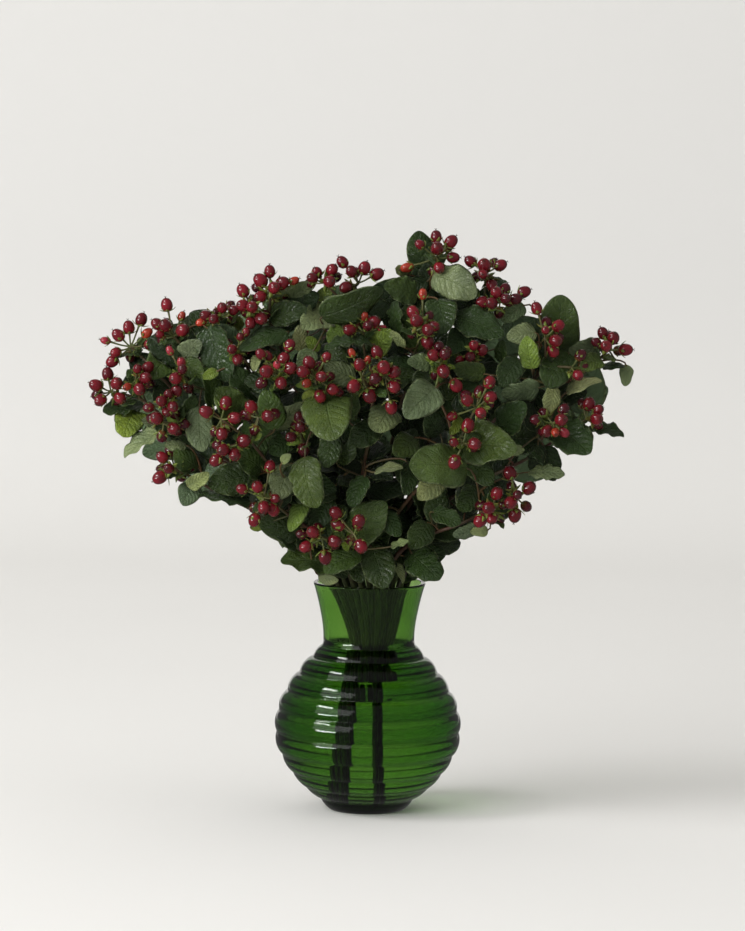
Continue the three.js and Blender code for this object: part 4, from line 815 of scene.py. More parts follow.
# ------------------------------------------------------------------ materials
class Shader:
    """A material's nodes, with a short call for each kind used here."""

    def __init__(self, name):
        self.material = bpy.data.materials.new(name)
        self.material.use_nodes = True
        self.tree = self.material.node_tree
        self.tree.nodes.clear()
        self.out = self.tree.nodes.new("ShaderNodeOutputMaterial")

    def feed(self, socket, value):
        if isinstance(value, bpy.types.NodeSocket):
            self.tree.links.new(value, socket)
        else:
            socket.default_value = value

    def node(self, kind, inputs=(), **settings):
        made = self.tree.nodes.new("ShaderNode" + kind)
        for key, value in settings.items():
            setattr(made, key, value)
        for key, value in dict(inputs).items():
            self.feed(made.inputs[key], value)
        return made

    def first(self, kind, inputs=(), **settings):
        return self.node(kind, inputs, **settings).outputs[0]

    def math(self, operation, a, b=0.0):
        return self.first("Math", {0: a, 1: b}, operation=operation)

    def times(self, a, b):
        return self.math("MULTIPLY", a, b)

    def total(self, *terms):
        whole = terms[0]
        for term in terms[1:]:
            whole = self.math("ADD", whole, term)
        return whole

    def scale(self, value, low, high, to_low, to_high):
        inputs = {0: value, 1: low, 2: high, 3: to_low, 4: to_high}
        return self.first("MapRange", inputs, interpolation_type="SMOOTHSTEP")

    def mix(self, factor, a, b):
        return self.node("Mix", {0: factor, 6: a, 7: b}, data_type="RGBA").outputs[2]

    def paint(self, base, *coats):
        """The base under coats of other colours, each given as how much of it shows, and the colour."""
        for share, colour in coats:
            base = self.mix(share, base, rgb(*colour))
        return base

    def noise(self, vector, scale, detail=3.0):
        return self.first("TexNoise", {"Vector": vector, "Scale": scale, "Detail": detail})

    def split(self, vector):
        return self.node("SeparateXYZ", {0: vector}).outputs

    def place(self):
        return self.first("NewGeometry")

    def tint(self):
        return self.node("Attribute", attribute_name="tint").outputs

    def layout(self):
        """Where a point lies across its piece and along it, each from 0 to 1."""
        return self.split(self.first("UVMap", uv_map="layout"))[:2]

    def bump(self, strength, distance, height):
        return self.first("Bump", {"Strength": strength, "Distance": distance, "Height": height})

    def blend(self, share, under, over):
        return self.first("MixShader", {0: share, 1: under, 2: over})

    def for_shadows(self, shader, clear):
        """The shader, but the clear one for shadow rays."""
        return self.blend(self.node("LightPath").outputs["Is Shadow Ray"], shader, clear)

    def surface(self, shader):
        self.feed(self.out.inputs["Surface"], shader)
        return self.material


def rgb(r, g, b):
    return (r, g, b, 1.0)


def leaf_material():
    sh = Shader("hypericum_leaf")
    tint, place = sh.tint(), sh.place()
    u, v = sh.layout()
    across = sh.math("ABSOLUTE", sh.times(sh.math("SUBTRACT", u, 0.5), 2.0))
    phase = sh.math("SUBTRACT", sh.times(v, 7.0), sh.times(sh.math("POWER", across, 1.25), 2.3))
    wobble = sh.times(sh.math("SUBTRACT", sh.noise(place, 90.0), 0.5), 0.6)
    beat = sh.math("PINGPONG", sh.total(phase, wobble, 20.0), 0.5)
    side_vein = sh.times(sh.scale(beat, 0.0, 0.07, 1.0, 0.0), sh.scale(across, 0.5, 1.0, 1.0, 0.1))
    rib = sh.scale(across, 0.012, 0.05, 1.0, 0.0)
    veins = sh.math("MAXIMUM", rib, sh.times(side_vein, 0.6))
    quilt = sh.scale(beat, 0.0, 0.5, 0.0, 1.0)
    net = sh.first("TexVoronoi", {"Vector": place, "Scale": 430.0}, feature="DISTANCE_TO_EDGE")
    net = sh.scale(net, 0.0, 0.14, 1.0, 0.0)
    patch, grain = sh.noise(place, 34.0, 4.0), sh.noise(place, 260.0, 2.0)
    base = sh.paint(
        tint["Color"],
        (sh.scale(patch, 0.35, 0.75, 0.0, 0.6), (0.007, 0.017, 0.004)),
        (sh.times(sh.scale(grain, 0.35, 0.7, 0.0, 1.0), 0.16), (0.045, 0.085, 0.030)),
        (sh.times(tint["Alpha"], 0.8), (0.105, 0.165, 0.080)),
        (sh.times(net, 0.10), (0.08, 0.14, 0.06)),
        (sh.times(veins, 0.15), (0.105, 0.155, 0.055)),
        # a pale rim at the edge: partly the leaf's own pale margin, partly a painted highlight where the
        # edge curls
        (sh.scale(across, 0.88, 0.97, 0.0, 0.55), (0.22, 0.27, 0.12)))
    relief = ((veins, -0.5), (quilt, 0.25), (patch, 1.3), (grain, 0.5), (net, -0.3))
    bump = sh.bump(1.0, 0.0012, sh.total(*[sh.times(part, share) for part, share in relief]))
    skin = sh.first("BsdfPrincipled", {
        "Base Color": base, "Roughness": sh.scale(patch, 0.25, 0.75, 0.22, 0.38),
        "Specular IOR Level": 0.5, "Normal": bump})
    glow = sh.first("BsdfTranslucent", {"Color": sh.paint(base, (0.5, (0.14, 0.30, 0.02))), "Normal": bump})
    return sh.surface(sh.blend(0.12, skin, glow))


def bark_material():
    sh = Shader("hypericum_bark")
    place = sh.place()
    patch, fine = sh.noise(place, 55.0, 4.0), sh.noise(place, 400.0)
    base = sh.paint(
        sh.tint()["Color"],
        (sh.scale(patch, 0.35, 0.7, 0.0, 0.6), (0.055, 0.070, 0.022)),
        (sh.scale(fine, 0.5, 0.75, 0.0, 0.35), (0.025, 0.012, 0.010)),
        # painted shade: the stems go nearly black toward and below the mouth of the vase, inside the glass
        (sh.scale(sh.split(place)[2], 0.195, 0.225, 0.88, 0.0), (0.006, 0.006, 0.003)))
    return sh.surface(sh.first("BsdfPrincipled", {
        "Base Color": base, "Roughness": sh.scale(fine, 0.2, 0.8, 0.38, 0.6),
        "Normal": sh.bump(0.4, 0.0003, fine)}))


def berry_material():
    sh = Shader("hypericum_berry")
    place, along_berry = sh.place(), sh.layout()[1]
    patch = sh.noise(place, 120.0)
    base = sh.paint(
        sh.tint()["Color"],
        (sh.scale(patch, 0.35, 0.7, 0.0, 0.55), (0.040, 0.004, 0.007)),
        (sh.scale(along_berry, 0.18, 0.0, 0.0, 0.5), (0.16, 0.09, 0.02)),
        (sh.scale(along_berry, 0.90, 1.0, 0.0, 0.6), (0.05, 0.012, 0.010)))
    return sh.surface(sh.first("BsdfPrincipled", {
        "Base Color": base, "Roughness": sh.scale(patch, 0.2, 0.8, 0.10, 0.22), "Specular IOR Level": 0.45,
        "Coat Weight": 0.6, "Coat Roughness": 0.07,
        "Normal": sh.bump(0.10, 0.0005, sh.noise(place, 240.0, 2.0))}))


def sepal_material():
    sh = Shader("hypericum_sepal")
    patch = sh.noise(sh.place(), 150.0)
    base = sh.paint(sh.tint()["Color"], (sh.scale(patch, 0.4, 0.75, 0.0, 0.6), (0.20, 0.10, 0.03)))
    skin = sh.first("BsdfPrincipled", {
        "Base Color": base, "Roughness": 0.5, "Normal": sh.bump(0.3, 0.0003, patch)})
    return sh.surface(sh.blend(0.2, skin, sh.first("BsdfTranslucent", {"Color": base})))


GLASS_DENSITY = 375.0
GLASS_COLOUR = (0.42, 0.655, 0.10)
GLASS_IOR = 1.5
WATER_IOR = 1.333


def glass_material():
    """Green glass. The tint's red tells where it meets air (1) or water (0), its green how near a groove
    between two rings is, which darkens the glass there as painted shade. Shadow rays pass straight through,
    less what the glass absorbs. The export needs plain numbers for the absorption, and takes the IOR set
    before its link."""
    sh = Shader("green_glass")
    place = sh.place()
    # groove is the share of painted shade near the grooves between rings
    dry, groove = sh.split(sh.tint()["Vector"])[:2]
    side, _, height = sh.split(place)
    # Above the water the neck is tinted darker, and darker still on its right side away from the lamps:
    # painted shade.
    neck = sh.mix(sh.scale(side, -0.02, 0.04, 0.0, 1.0), rgb(0.92, 0.97, 0.87), rgb(0.72, 0.80, 0.64))
    body = sh.paint(
        sh.mix(sh.scale(height, 0.141, 0.152, 0.0, 1.0), rgb(1, 1, 1), neck),
        # painted shade in each groove between two rings
        (sh.times(groove, 0.75), (0.30, 0.34, 0.28)),
        # painted shade darkening the foot
        (sh.scale(height, 0.008, 0.030, 1.0, 0.0), (0.28, 0.27, 0.29)))
    glass = sh.node("BsdfPrincipled", {
        "Base Color": body, "Roughness": sh.scale(sh.noise(place, 60.0, 2.0), 0.4, 0.8, 0.0, 0.02),
        "IOR": GLASS_IOR, "Transmission Weight": 1.0,
        "Normal": sh.bump(0.04, 0.001, sh.noise(place, 28.0, 1.0))})
    sh.feed(glass.inputs["IOR"], sh.scale(dry, 0.0, 1.0, GLASS_IOR / WATER_IOR, GLASS_IOR))
    depth = sh.first("VolumeAbsorption", {"Color": rgb(*GLASS_COLOUR), "Density": GLASS_DENSITY})
    sh.feed(sh.out.inputs["Volume"], depth)
    return sh.surface(sh.for_shadows(glass.outputs[0], sh.first("BsdfTransparent")))


def water_surface_material():
    sh = Shader("water_surface")
    water = sh.first("BsdfPrincipled", {
        "Base Color": rgb(0.97, 1.0, 0.96), "Roughness": 0.0, "IOR": WATER_IOR, "Transmission Weight": 1.0,
        "Normal": sh.bump(0.08, 0.001, sh.noise(sh.place(), 20.0, 1.0))})
    return sh.surface(sh.for_shadows(water, sh.first("BsdfTransparent", {"Color": rgb(0.95, 0.98, 0.95)})))


def water_side_material():
    """Where water meets glass there is no mirror: the glass's own inner face does the bending."""
    sh = Shader("water_against_glass")
    return sh.surface(sh.first("BsdfTransparent", {"Color": rgb(0.985, 0.995, 0.98)}))


def backdrop_material():
    """Pale paper, darker up the wall as painted shade, that can be seen through from behind."""
    sh = Shader("backdrop")
    place = sh.place()
    base = sh.paint(
        rgb(0.80, 0.79, 0.765),
        (sh.scale(sh.noise(place, 3.0, 2.0), 0.3, 0.7, 0.0, 0.15), (0.77, 0.76, 0.735)),
        # painted shade, darker up the wall
        (sh.scale(sh.split(place)[2], 0.0, 0.35, 0.0, 1.0), (0.725, 0.717, 0.697)))
    paper = sh.first("BsdfPrincipled", {"Base Color": base, "Roughness": 0.9, "Specular IOR Level": 0.1})
    behind = sh.node("NewGeometry").outputs["Backfacing"]
    return sh.surface(sh.blend(behind, paper, sh.first("BsdfTransparent")))


# ------------------------------------------------------------------ vase and water
VASE_TURNS = 160
WATER_TURNS = 96
WATER_GAP = 0.35  # between water and glass
RING_POINTS = 16
WALL_PITCH = 0.8
WALL_SOFTNESS = 0.9
GROOVE_SHADE_LIFT = 0.8  # the painted shade of a groove lies this far above it
GROOVE_SHADE_HALF = 2.6


def smooth_profile(points, steps):
    return [(p[0], p[1]) for p in smooth_path([vec(z, r, 0) for z, r in points], steps)]


def ring_arc(upper, lower, bulge, count):
    """Points from one groove down to the next over the round ring between them."""
    (z0, r0), (z1, r1) = upper, lower
    points = []
    for i in range(count):
        t = i / count
        rise = bulge * (1 - (2 * t - 1) ** 2) ** 0.72
        points.append((z0 + (z1 - z0) * t + (r1 - r0) * rise, r0 + (r1 - r0) * t + (z0 - z1) * rise))
    return points


def rounded(points, pitch, sigma):
    """The line through the points, sampled evenly and softened over the length sigma; ends stay."""
    points = np.array(points, float)
    travelled = np.concatenate([[0], np.cumsum(np.hypot(*np.diff(points, axis=0).T))])
    even = np.linspace(0, travelled[-1], int(travelled[-1] / pitch) + 1)
    line = np.stack([np.interp(even, travelled, points[:, k]) for k in (0, 1)], 1)
    reach = int(3 * sigma / pitch)
    weights = np.exp(-0.5 * (np.arange(-reach, reach + 1) * pitch / sigma) ** 2)
    weights /= weights.sum()
    ahead = 2 * line[0] - line[reach:0:-1]
    behind = 2 * line[-1] - line[-2:-reach - 2:-1]
    padded = np.concatenate([ahead, line, behind])
    soft = np.stack([np.convolve(padded[:, k], weights, "valid") for k in (0, 1)], 1)
    return [(float(z), float(r)) for z, r in soft]


def vase_outline():
    """Outer wall from the middle of the foot up, over the rim, and the inner wall back down."""
    wall = list(FOOT_OUTER)
    for i in range(len(GROOVES) - 1, 0, -1):
        arc = ring_arc(GROOVES[i - 1], GROOVES[i], RING_BULGES[i - 1], RING_POINTS)
        wall += [GROOVES[i]] + arc[:0:-1]
    wall.append(GROOVES[0])
    wall += smooth_profile(NECK_OUTER[::-1], 4)[:-1] + [(198.6, RIM_OUTER)]
    outer = [(0, 0), (0, 12), (0, 24), (0, 31)] + rounded(wall, WALL_PITCH, WALL_SOFTNESS)
    rim = [(199.3, RIM_OUTER - 0.1), (199.8, RIM_OUTER - 0.5), (VASE_HEIGHT, RIM_OUTER - 1.2),
           (VASE_HEIGHT, RIM_INNER + 1.1), (199.7, RIM_INNER + 0.3), (199.0, RIM_INNER)]
    inner = smooth_profile([(199.0, RIM_INNER)] + INNER_WALL, 5)[1:]
    return outer, rim, inner + [(FLOOR_TOP, 16), (FLOOR_TOP, 0)]


def lathe(outline, slots, turns, tints):
    """A closed solid of revolution. The outline starts and ends on the axis. Each of its points has the slot
    of the material from there on, and two values for the tint."""
    body = outline[1:-1]
    points, uv, tint = [], [], []
    for (z, r), share in zip(body, tints[1:-1]):
        for k in range(turns):
            angle = 2 * math.pi * k / turns
            points.append((r * math.cos(angle), r * math.sin(angle), z))
            uv.append((k / turns, z / VASE_HEIGHT))
            tint.append((*share, 0.0, 1.0))
    points += [(0, 0, outline[0][0]), (0, 0, outline[-1][0])]
    uv += [(0, 0), (0, 1)]
    tint += [(*tints[0], 0.0, 1.0), (*tints[-1], 0.0, 1.0)]
    strips = [slot for slot in slots[:len(body) - 1] for _ in range(turns)]
    skin = Skin()
    skin.add(points, tube_faces(len(body), turns), tint, uv, strips + [slots[0], slots[-1]] * turns)
    return skin


def groove_shade_share(z):
    """The share of painted shade on the glass: 1 in a groove between two rings, falling to 0 a few
    millimetres above and below it.
    """
    return max(math.exp(-((z - groove - GROOVE_SHADE_LIFT) / GROOVE_SHADE_HALF) ** 2) for groove, _ in GROOVES)


def build_vase():
    outer, rim, inner = vase_outline()
    outline = outer + rim + inner
    first_inner = len(outer) + len(rim)
    # Each point's tint: whether the glass meets air or water, and on the outer wall its share of painted
    # groove shade.
    tints = [(0.0 if i >= first_inner and z < WATER_TOP else 1.0,
              groove_shade_share(z) if i < len(outer) else 0.0) for i, (z, _) in enumerate(outline)]
    skin = lathe(outline, [0] * len(outline), VASE_TURNS, tints)
    settle(skin.make("vase_glass", [glass_material()]), "vase")
    return inner[::-1]


def build_water(wall):
    """The water just inside the glass, with a small meniscus at its edge."""
    edge = along(wall, WATER_TOP) - WATER_GAP
    side = [(z + WATER_GAP * 0.5, r - WATER_GAP) for z, r in wall if r > 1 and z < WATER_TOP - 1.5]
    top = [(WATER_TOP + 0.4, edge), (WATER_TOP - 0.4, edge - 1.4), (WATER_TOP - 0.8, edge - 3.6),
           (WATER_TOP - 0.8, 12), (WATER_TOP - 0.8, 0)]
    outline = [(FLOOR_TOP + WATER_GAP * 0.5, 0)] + side + top
    slots = [1] * len(side) + [0] * (len(top) + 1)
    skin = lathe(outline, slots, WATER_TURNS, [(1.0, 0.0)] * len(outline))
    piece = skin.make("water", [water_surface_material(), water_side_material()])
    settle(piece, "water")


# ------------------------------------------------------------------ the bouquet
def cad_tips():
    """Every vertex of the leafy stems of the CAD model, to look leaves up by their tips."""
    found, owners = [], []
    for i in range(len(STEM_SLOTS)):
        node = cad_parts["leafy_stem_%02d" % (i + 1)]
        co = np.zeros(len(node.data.vertices) * 3, np.float32)
        node.data.vertices.foreach_get("co", co)
        co = np.unique(co.reshape(-1, 3), axis=0)
        found.append(co)
        owners += [i] * len(co)
    tree = KDTree(len(owners))
    for i, co in enumerate(np.concatenate(found)):
        tree.insert(co / MM, i)
    tree.balance()
    return tree, owners


def grow_stems(layouts):
    """The stems up to the clusters at their ends, and the side twigs to the others."""
    stems = []
    for i, slot in enumerate(STEM_SLOTS):
        end = next(l for l in layouts if l["stem"] == i + 1 and l["ends"])
        points = stem_path(slot, end["base"], end["outward"])
        curve = smooth_path(points, 5)
        stems.append({
            "curve": curve, "leaves": [], "stalks": [], "path": points, "extras": [],
            "limbs": [{"points": points[mouth_of(points):], "share": 1, "curve": curve}],
        })
    for layout in layouts:
        if layout["ends"]:
            continue
        stem = stems[layout["stem"] - 1]
        _, root, number = twig_root(stem, layout["base"], layout["outward"])
        twig = side_twig(root, layout["base"], layout["outward"])
        start = nearest(stem["limbs"][number]["curve"], root)
        curve = smooth_path([start] + twig[1:], 5)
        stem["limbs"].append({"points": twig, "share": 1, "curve": curve})
        stem["stalks"].append((curve, TWIG_RADIUS * 1.25, TWIG_RADIUS))
    return stems


def grow():
    """The clusters, and the stems with their side twigs and leaves. Leaves that the CAD has are found by
    their tips; those it left out follow, and then the ones that are looks only."""
    rows = [(*row, -1) for row in FRONT_CLUSTERS]
    rows += [back_cluster_row(row, i) for i, row in enumerate(BACK_CLUSTERS)]
    layouts = [cluster_layout(row) for row in rows]
    stems = grow_stems(layouts)
    tree, owners = cad_tips()
    leaves = [(row, -1) for row in FRONT_LEAVES if seen_area(row) >= SMALLEST_LEAF]
    leaves += [(row, 1) for row in back_leaf_rows() if leaf_within_outline(row)]
    leaves += [(row, -1) for row in inner_leaf_rows() if leaf_within_outline(row)]
    leaves.sort(key=lambda leaf: stem_distance(leaf, stems))
    missed = [leaf for leaf in leaves if not place_leaf(*leaf, stems, tree, owners)]
    small = [(row, -1) for row in FRONT_LEAVES if seen_area(row) < SMALLEST_LEAF]
    for row, side in small + missed + [(row, -1) for row in MOUTH_LEAVES]:
        add_small_leaf(row, side, stems)
    add_paired_leaves(stems, tree, owners)
    fill_crown(stems, layouts)
    fill_gaps(stems, layouts)
    add_extra_stems(stems)
    return layouts, stems


def seen_area(row):
    return math.hypot(row[2] - row[0], row[3] - row[1]) * row[4]


def stem_distance(leaf, stems):
    base = leaf_layout(*leaf, 0)["base"]
    least = math.inf
    for stem in stems:
        points = stem["limbs"][0]["points"]
        for a, b in zip(points, points[1:]):
            for k in range(5):
                least = min(least, length_of(a + (b - a) * (k / 4) - base))
    return least


def place_leaf(row, side, stems, tree, owners):
    """Attach a leaf where the CAD has it, at the first depth that the CAD's build found free."""
    for step in DEPTH_STEPS:
        leaf = leaf_layout(row, side, step)
        _, index, gap = tree.find(leaf["tip"])
        if gap > TIP_MATCH:
            continue
        stem = stems[owners[index]]
        axis = leaf_axes(leaf)[0]
        _, root, number = twig_root(stem, leaf["base"], axis)
        attach(stem, leaf, root, number, row[6])
        return True
    return False


def attach(stem, leaf, root, number, tone):
    """A leaf on a curved stalk of its own, from which others may branch."""
    axis = leaf_axes(leaf)[0]
    start = nearest(stem["limbs"][number]["curve"], root)
    reach = length_of(leaf["base"] - start)
    end = leaf["base"] + axis * LEAF_ROOTED
    b = start + vec(0, 0, reach * 0.12)
    c = leaf["base"] - axis * (reach * 0.25)
    curve = [bezier(start, b, c, end, k / 7) for k in range(8)]
    stem["limbs"].append({"points": [root, leaf["base"]], "share": 0.75, "curve": curve})
    stem["stalks"].append((curve, 0.75 + reach * 0.008, 0.7))
    stem["leaves"].append((leaf, tone))


def add_small_leaf(row, side, stems):
    leaf = leaf_layout(row, side, 0)
    axis = leaf_axes(leaf)[0]
    options = [(twig_root(stem, leaf["base"], axis), stem) for stem in stems]
    (_, root, number), stem = min(options, key=lambda option: option[0][0])
    if root is not None:
        attach(stem, leaf, root, number, row[6])


def bearing_limbs(stems):
    return [(stem, limb) for stem in stems for limb in stem["limbs"] if limb["share"] == 1]


def add_pair(stem, limb, leaf, at, tone):
    """A leaf on a short stalk from the limb."""
    axis = leaf_axes(leaf)[0]
    start = nearest(limb["curve"], at)
    reach = length_of(leaf["base"] - start)
    curve = [bezier(start, start + (leaf["base"] - start) * 0.4, leaf["base"] - axis * (reach * 0.3),
                    leaf["base"] + axis * LEAF_ROOTED, k / 4) for k in range(5)]
    stem["stalks"].append((curve, 0.85, 0.7))
    stem["leaves"].append((leaf, tone))


def pair_places(stems, levels, start, pitch):
    """Both sides of each node along the limbs, level by level: the limb's number and stem, the limb, the
    node's place and direction, and which way round the limb that side looks."""
    for level in range(levels):
        for i, (stem, limb) in enumerate(bearing_limbs(stems)):
            nodes = nodes_along(limb["points"], start(i), pitch)
            for half in range(2 if level < len(nodes) else 0):
                yield i, stem, limb, *nodes[level], math.pi * (half + level / 2)


def add_paired_leaves(stems, tree, owners):
    """The pairs of leaves that the CAD has too, found by their tips."""
    levels, start, pitch = (PAIRED_LEAVES[key] for key in ("levels", "start", "pitch"))
    pairs = pair_places(stems, levels, lambda i: start, pitch)
    for i, stem, limb, at, heading, turn in pairs:
        for attempt in range(4):
            aimed = turn + i * 0.7 + attempt * 0.5
            leaf = paired_leaf(at, heading, aimed, PAIRED_LEAVES["length"], PAIRED_LEAVES["stalk"])
            _, index, gap = tree.find(leaf["tip"])
            if gap < TIP_MATCH and stems[owners[index]] is stem:
                add_pair(stem, limb, leaf, at, 0)
                break


def leaf_samples(leaf):
    """Points spread over a leaf, to keep others off it."""
    _, face, across = leaf_axes(leaf)
    run = leaf["tip"] - leaf["base"]
    arch = face * length_of(run) * LEAF_ARCH
    return [leaf["base"] + run * t + across * (leaf["width"] * w) + arch * (4 * t * (1 - t))
            for t in (0.08, 0.3, 0.52, 0.75, 0.97) for w in ((-0.36, 0, 0.36) if 0.1 < t < 0.9 else (0,))]


def occupied(stems, layouts):
    """Points on all leaves, and the middles of all berries."""
    leaves = [p for stem in stems for leaf, _ in stem["leaves"] for p in leaf_samples(leaf)]
    return leaves, [spot["at"] for layout in layouts for spot in layout["berries"]]


def clearance(spots, others):
    """The least distance between any of the spots and any of the others."""
    return np.linalg.norm(np.array(others)[None] - spots[:, None], axis=2).min()


FILL_SEED = 8087
FILL_LEVELS = 9
FILL_PITCH = 13.5
FILL_TRIES = 5
FILL_FRONT = 14  # how far behind the crown's front the middle and tip of such a leaf stay
FILL_OFF_BERRIES = 8
FILL_OFF_LEAVES = 4.2


def fill_crown(stems, layouts):
    """More pairs of leaves along every limb, smaller and wherever there is room inside the crown."""
    draw = random_from(FILL_SEED)
    taken, fruit = occupied(stems, layouts)
    pairs = pair_places(stems, FILL_LEVELS, lambda i: 4 + (i % 3) * 4, FILL_PITCH)
    for i, stem, limb, at, heading, turn in pairs:
        length = 27 + draw() * 16
        for attempt in range(FILL_TRIES):
            leaf = paired_leaf(at, heading, turn + i * 0.9 + attempt * 0.55, length, 4 + draw() * 4)
            leaf["width"] = length * (0.52 + draw() * 0.2)
            spots = np.array(leaf_samples(leaf))
            if not all(inside_crown(p, FILL_FRONT) for p in (spots[-1], spots[5])):
                continue
            if clearance(spots, fruit) < FILL_OFF_BERRIES or clearance(spots, taken) < FILL_OFF_LEAVES:
                continue
            taken += list(spots)
            # most take the darker inner tone, painted shade inside the crown
            add_pair(stem, limb, leaf, at, 0 if draw() < 0.3 else SHADED_INNER_TONE)
            break


def seen_ellipse(leaf):
    """A leaf's middle, half length and half width as seen from the front, on the plane through the axis."""
    across = leaf_axes(leaf)[2] * (leaf["width"] * 0.46)
    middle = (leaf["base"] + leaf["tip"]) / 2
    centre = flat(middle)
    return centre, flat(leaf["tip"]) - centre, flat(middle + across) - centre


def covered(ellipse, spots):
    """Which of the spots a leaf hides. One seen nearly edge-on hides none."""
    centre, a, b = ellipse
    turn = a[0] * b[1] - a[1] * b[0]
    if abs(turn) < EDGE_ON:
        return np.zeros(len(spots), bool)
    gap = spots - centre
    u = (gap[:, 0] * b[1] - gap[:, 1] * b[0]) / turn
    v = (a[0] * gap[:, 1] - a[1] * gap[:, 0]) / turn
    return u * u + v * v < 0.9


GAP_SEED = 4021
GAP_PITCH = 8
GAP_MARGIN = 34  # how far inside the crown's outline an opening is closed
GAP_FIELD = {"x": (-232, 233), "z": (212, 500)}
GAP_REACH = (8, 44)  # from a limb to the opening that its leaf closes
GAP_TRIES = 24
GAP_OFF_BERRIES = 7.5
GAP_ROOM = (1.0, 3.6)  # from other leaves: the least, and what is enough to look no further
GAP_LENGTH = (26.0, 46.0)
EDGE_ON = 20


def closing_leaf(x, z, places, taken, fruit, draw):
    """Of the limbs' nodes nearest to the line of sight, the one whose leaf over it has most room."""
    goals = np.array([seen(x, z, y) for y in places[:, 1]])
    reach = np.linalg.norm(goals - places, axis=1)
    room, best = GAP_ROOM[0], None
    for n in np.argsort(np.where(reach < GAP_REACH[0], math.inf, reach))[:GAP_TRIES]:
        if reach[n] > GAP_REACH[1] or room > GAP_ROOM[1]:
            break
        leaf = gap_leaf(places[n], goals[n], draw)
        spots = np.array(leaf_samples(leaf))
        away = clearance(spots, taken)
        if clearance(spots, fruit) > GAP_OFF_BERRIES and away > room:
            room, best = away, (n, leaf, spots)
    return best


def fill_gaps(stems, layouts):
    """Leaves deep inside the crown, over the openings that would show through it from the front."""
    draw = random_from(GAP_SEED)
    taken, fruit = occupied(stems, layouts)
    nodes = [(stem, limb, at) for stem, limb in bearing_limbs(stems)
             for at, _ in nodes_along(limb["points"], 2, 5)]
    places = np.array([at for _, _, at in nodes])
    across, up = range(*GAP_FIELD["x"], GAP_PITCH), range(*GAP_FIELD["z"], GAP_PITCH)
    spots = np.array([(x, z) for z in up for x in across if outline_room(x, z) > GAP_MARGIN], float)
    shut = np.zeros(len(spots), bool)
    for leaf in [leaf for stem in stems for leaf, _ in stem["leaves"]]:
        shut |= covered(seen_ellipse(leaf), spots)
    for i, (x, z) in enumerate(spots):
        found = None if shut[i] else closing_leaf(x, z, places, taken, fruit, draw)
        if found:
            n, leaf, room = found
            taken += list(room)
            shut |= covered(seen_ellipse(leaf), spots)
            stem, limb, at = nodes[n]
            # in the darker inner tone, painted shade inside the crown
            add_pair(stem, limb, leaf, at, SHADED_INNER_TONE)


def gap_leaf(at, goal, draw):
    """A leaf from a limb out over the goal, its face toward the front and up."""
    out = unit(goal - at)
    base = at + out * 4
    length = min(GAP_LENGTH[1], max(GAP_LENGTH[0], length_of(goal - base) / 0.55))
    return blade(base, out, length, length * 0.66, unit(vec((draw() - 0.5) * 0.7, -1, 0.5 * draw())))


# Radius of the stems as shown, by height: thicker in the neck, where they crowd, slender above it.
STEM_GIRTH = [
    (0, 1.95), (110, 1.95), (132, 2.5), (150, 2.9), (185, 3.1), (212, 2.7), (250, 1.95), (600, 1.95),
]
EXTRA_SLOTS = [
    (-1.5, 3, 109), (-0.5, 3, 101), (0.5, 3, 106), (1.5, 3, 112), (-2, -2, 114), (0.5, -3, 104),
    (-0.5, -3, 99), (2, -2, 113), (2, 2, 110), (-2, 2, 108),
]
TRUNK_SIDES = 10
STALK_SIDES = 7
FOOT_CLEARANCE = 0.9  # between a stem's foot and the glass floor


def add_extra_stems(stems):
    """Thin stems between the others in the neck; each ends inside the crown, on the stem it rides."""
    for i, slot in enumerate(EXTRA_SLOTS):
        mouth = slot_point(slot, VASE_HEIGHT)
        gaps = [length_of(stem["path"][mouth_of(stem["path"])] - mouth) for stem in stems]
        stem = stems[gaps.index(min(gaps))]
        goal = nearest(stem["limbs"][0]["curve"], mouth + vec(0, 0, 62 + 6 * (i % 4)))
        rise = unit(mouth - slot_point(slot, NECK_LEVEL))
        curve = smooth_path(stem_feet(slot), 5)[:-1]
        curve += [bezier(mouth, mouth + rise * 22, goal - vec(0, 0, 16), goal, k / 6) for k in range(7)]
        stem["extras"].append(curve)


def girth(z, thick):
    return along(STEM_GIRTH, z) * thick


def build_stem(number, stem, leaf_skin, bark):
    name = "leafy_stem_%02d" % number
    draw = random_from(500 + number * 31)
    wood = Skin()
    for order, curve in enumerate([stem["curve"]] + stem["extras"]):
        curve = [p for p in curve if p[2] > FLOOR_TOP + FOOT_CLEARANCE]
        n = len(curve)
        mouth = mouth_of(curve)
        radii = []
        for i, p in enumerate(curve):
            share = max(0, i - mouth) / (n - 1 - mouth)
            radii.append(girth(p[2], 1.0 - 0.3 * share) * (0.96 if order == 0 else 0.85))
        brown = (0.060 * (0.8 + draw() * 0.6), 0.030, 0.016, 1.0)
        wood.tube(curve, radii, TRUNK_SIDES, brown)
    for path, thick, thin in stem["stalks"]:
        m = len(path)
        size = [thick + (thin - thick) * i / (m - 1) for i in range(m)]
        red = 0.060 + draw() * 0.05
        wood.tube(path, size, STALK_SIDES, (red, 0.034 + draw() * 0.03, 0.018, 1.0))
    piece = wood.make(name + "_wood", [bark])
    settle(piece, name)
    if stem["leaves"]:
        blades = Skin()
        for leaf, tone in stem["leaves"]:
            add_leaf(blades, leaf, tone, draw)
        piece = blades.make(name + "_leaves", [leaf_skin])
        settle(piece, name)


PEDUNCLE_RADII = [1.15] * 7 + [1.1, 1.2, 1.5]
PEDUNCLE_SIDES = 8
PEDICEL_RADII = [0.85, 0.8, 0.75, 0.72, 0.75, 0.85, 1.1]
HIDDEN_BERRIES = 3
HIDDEN_TRIES = 6
BRACTS = 4


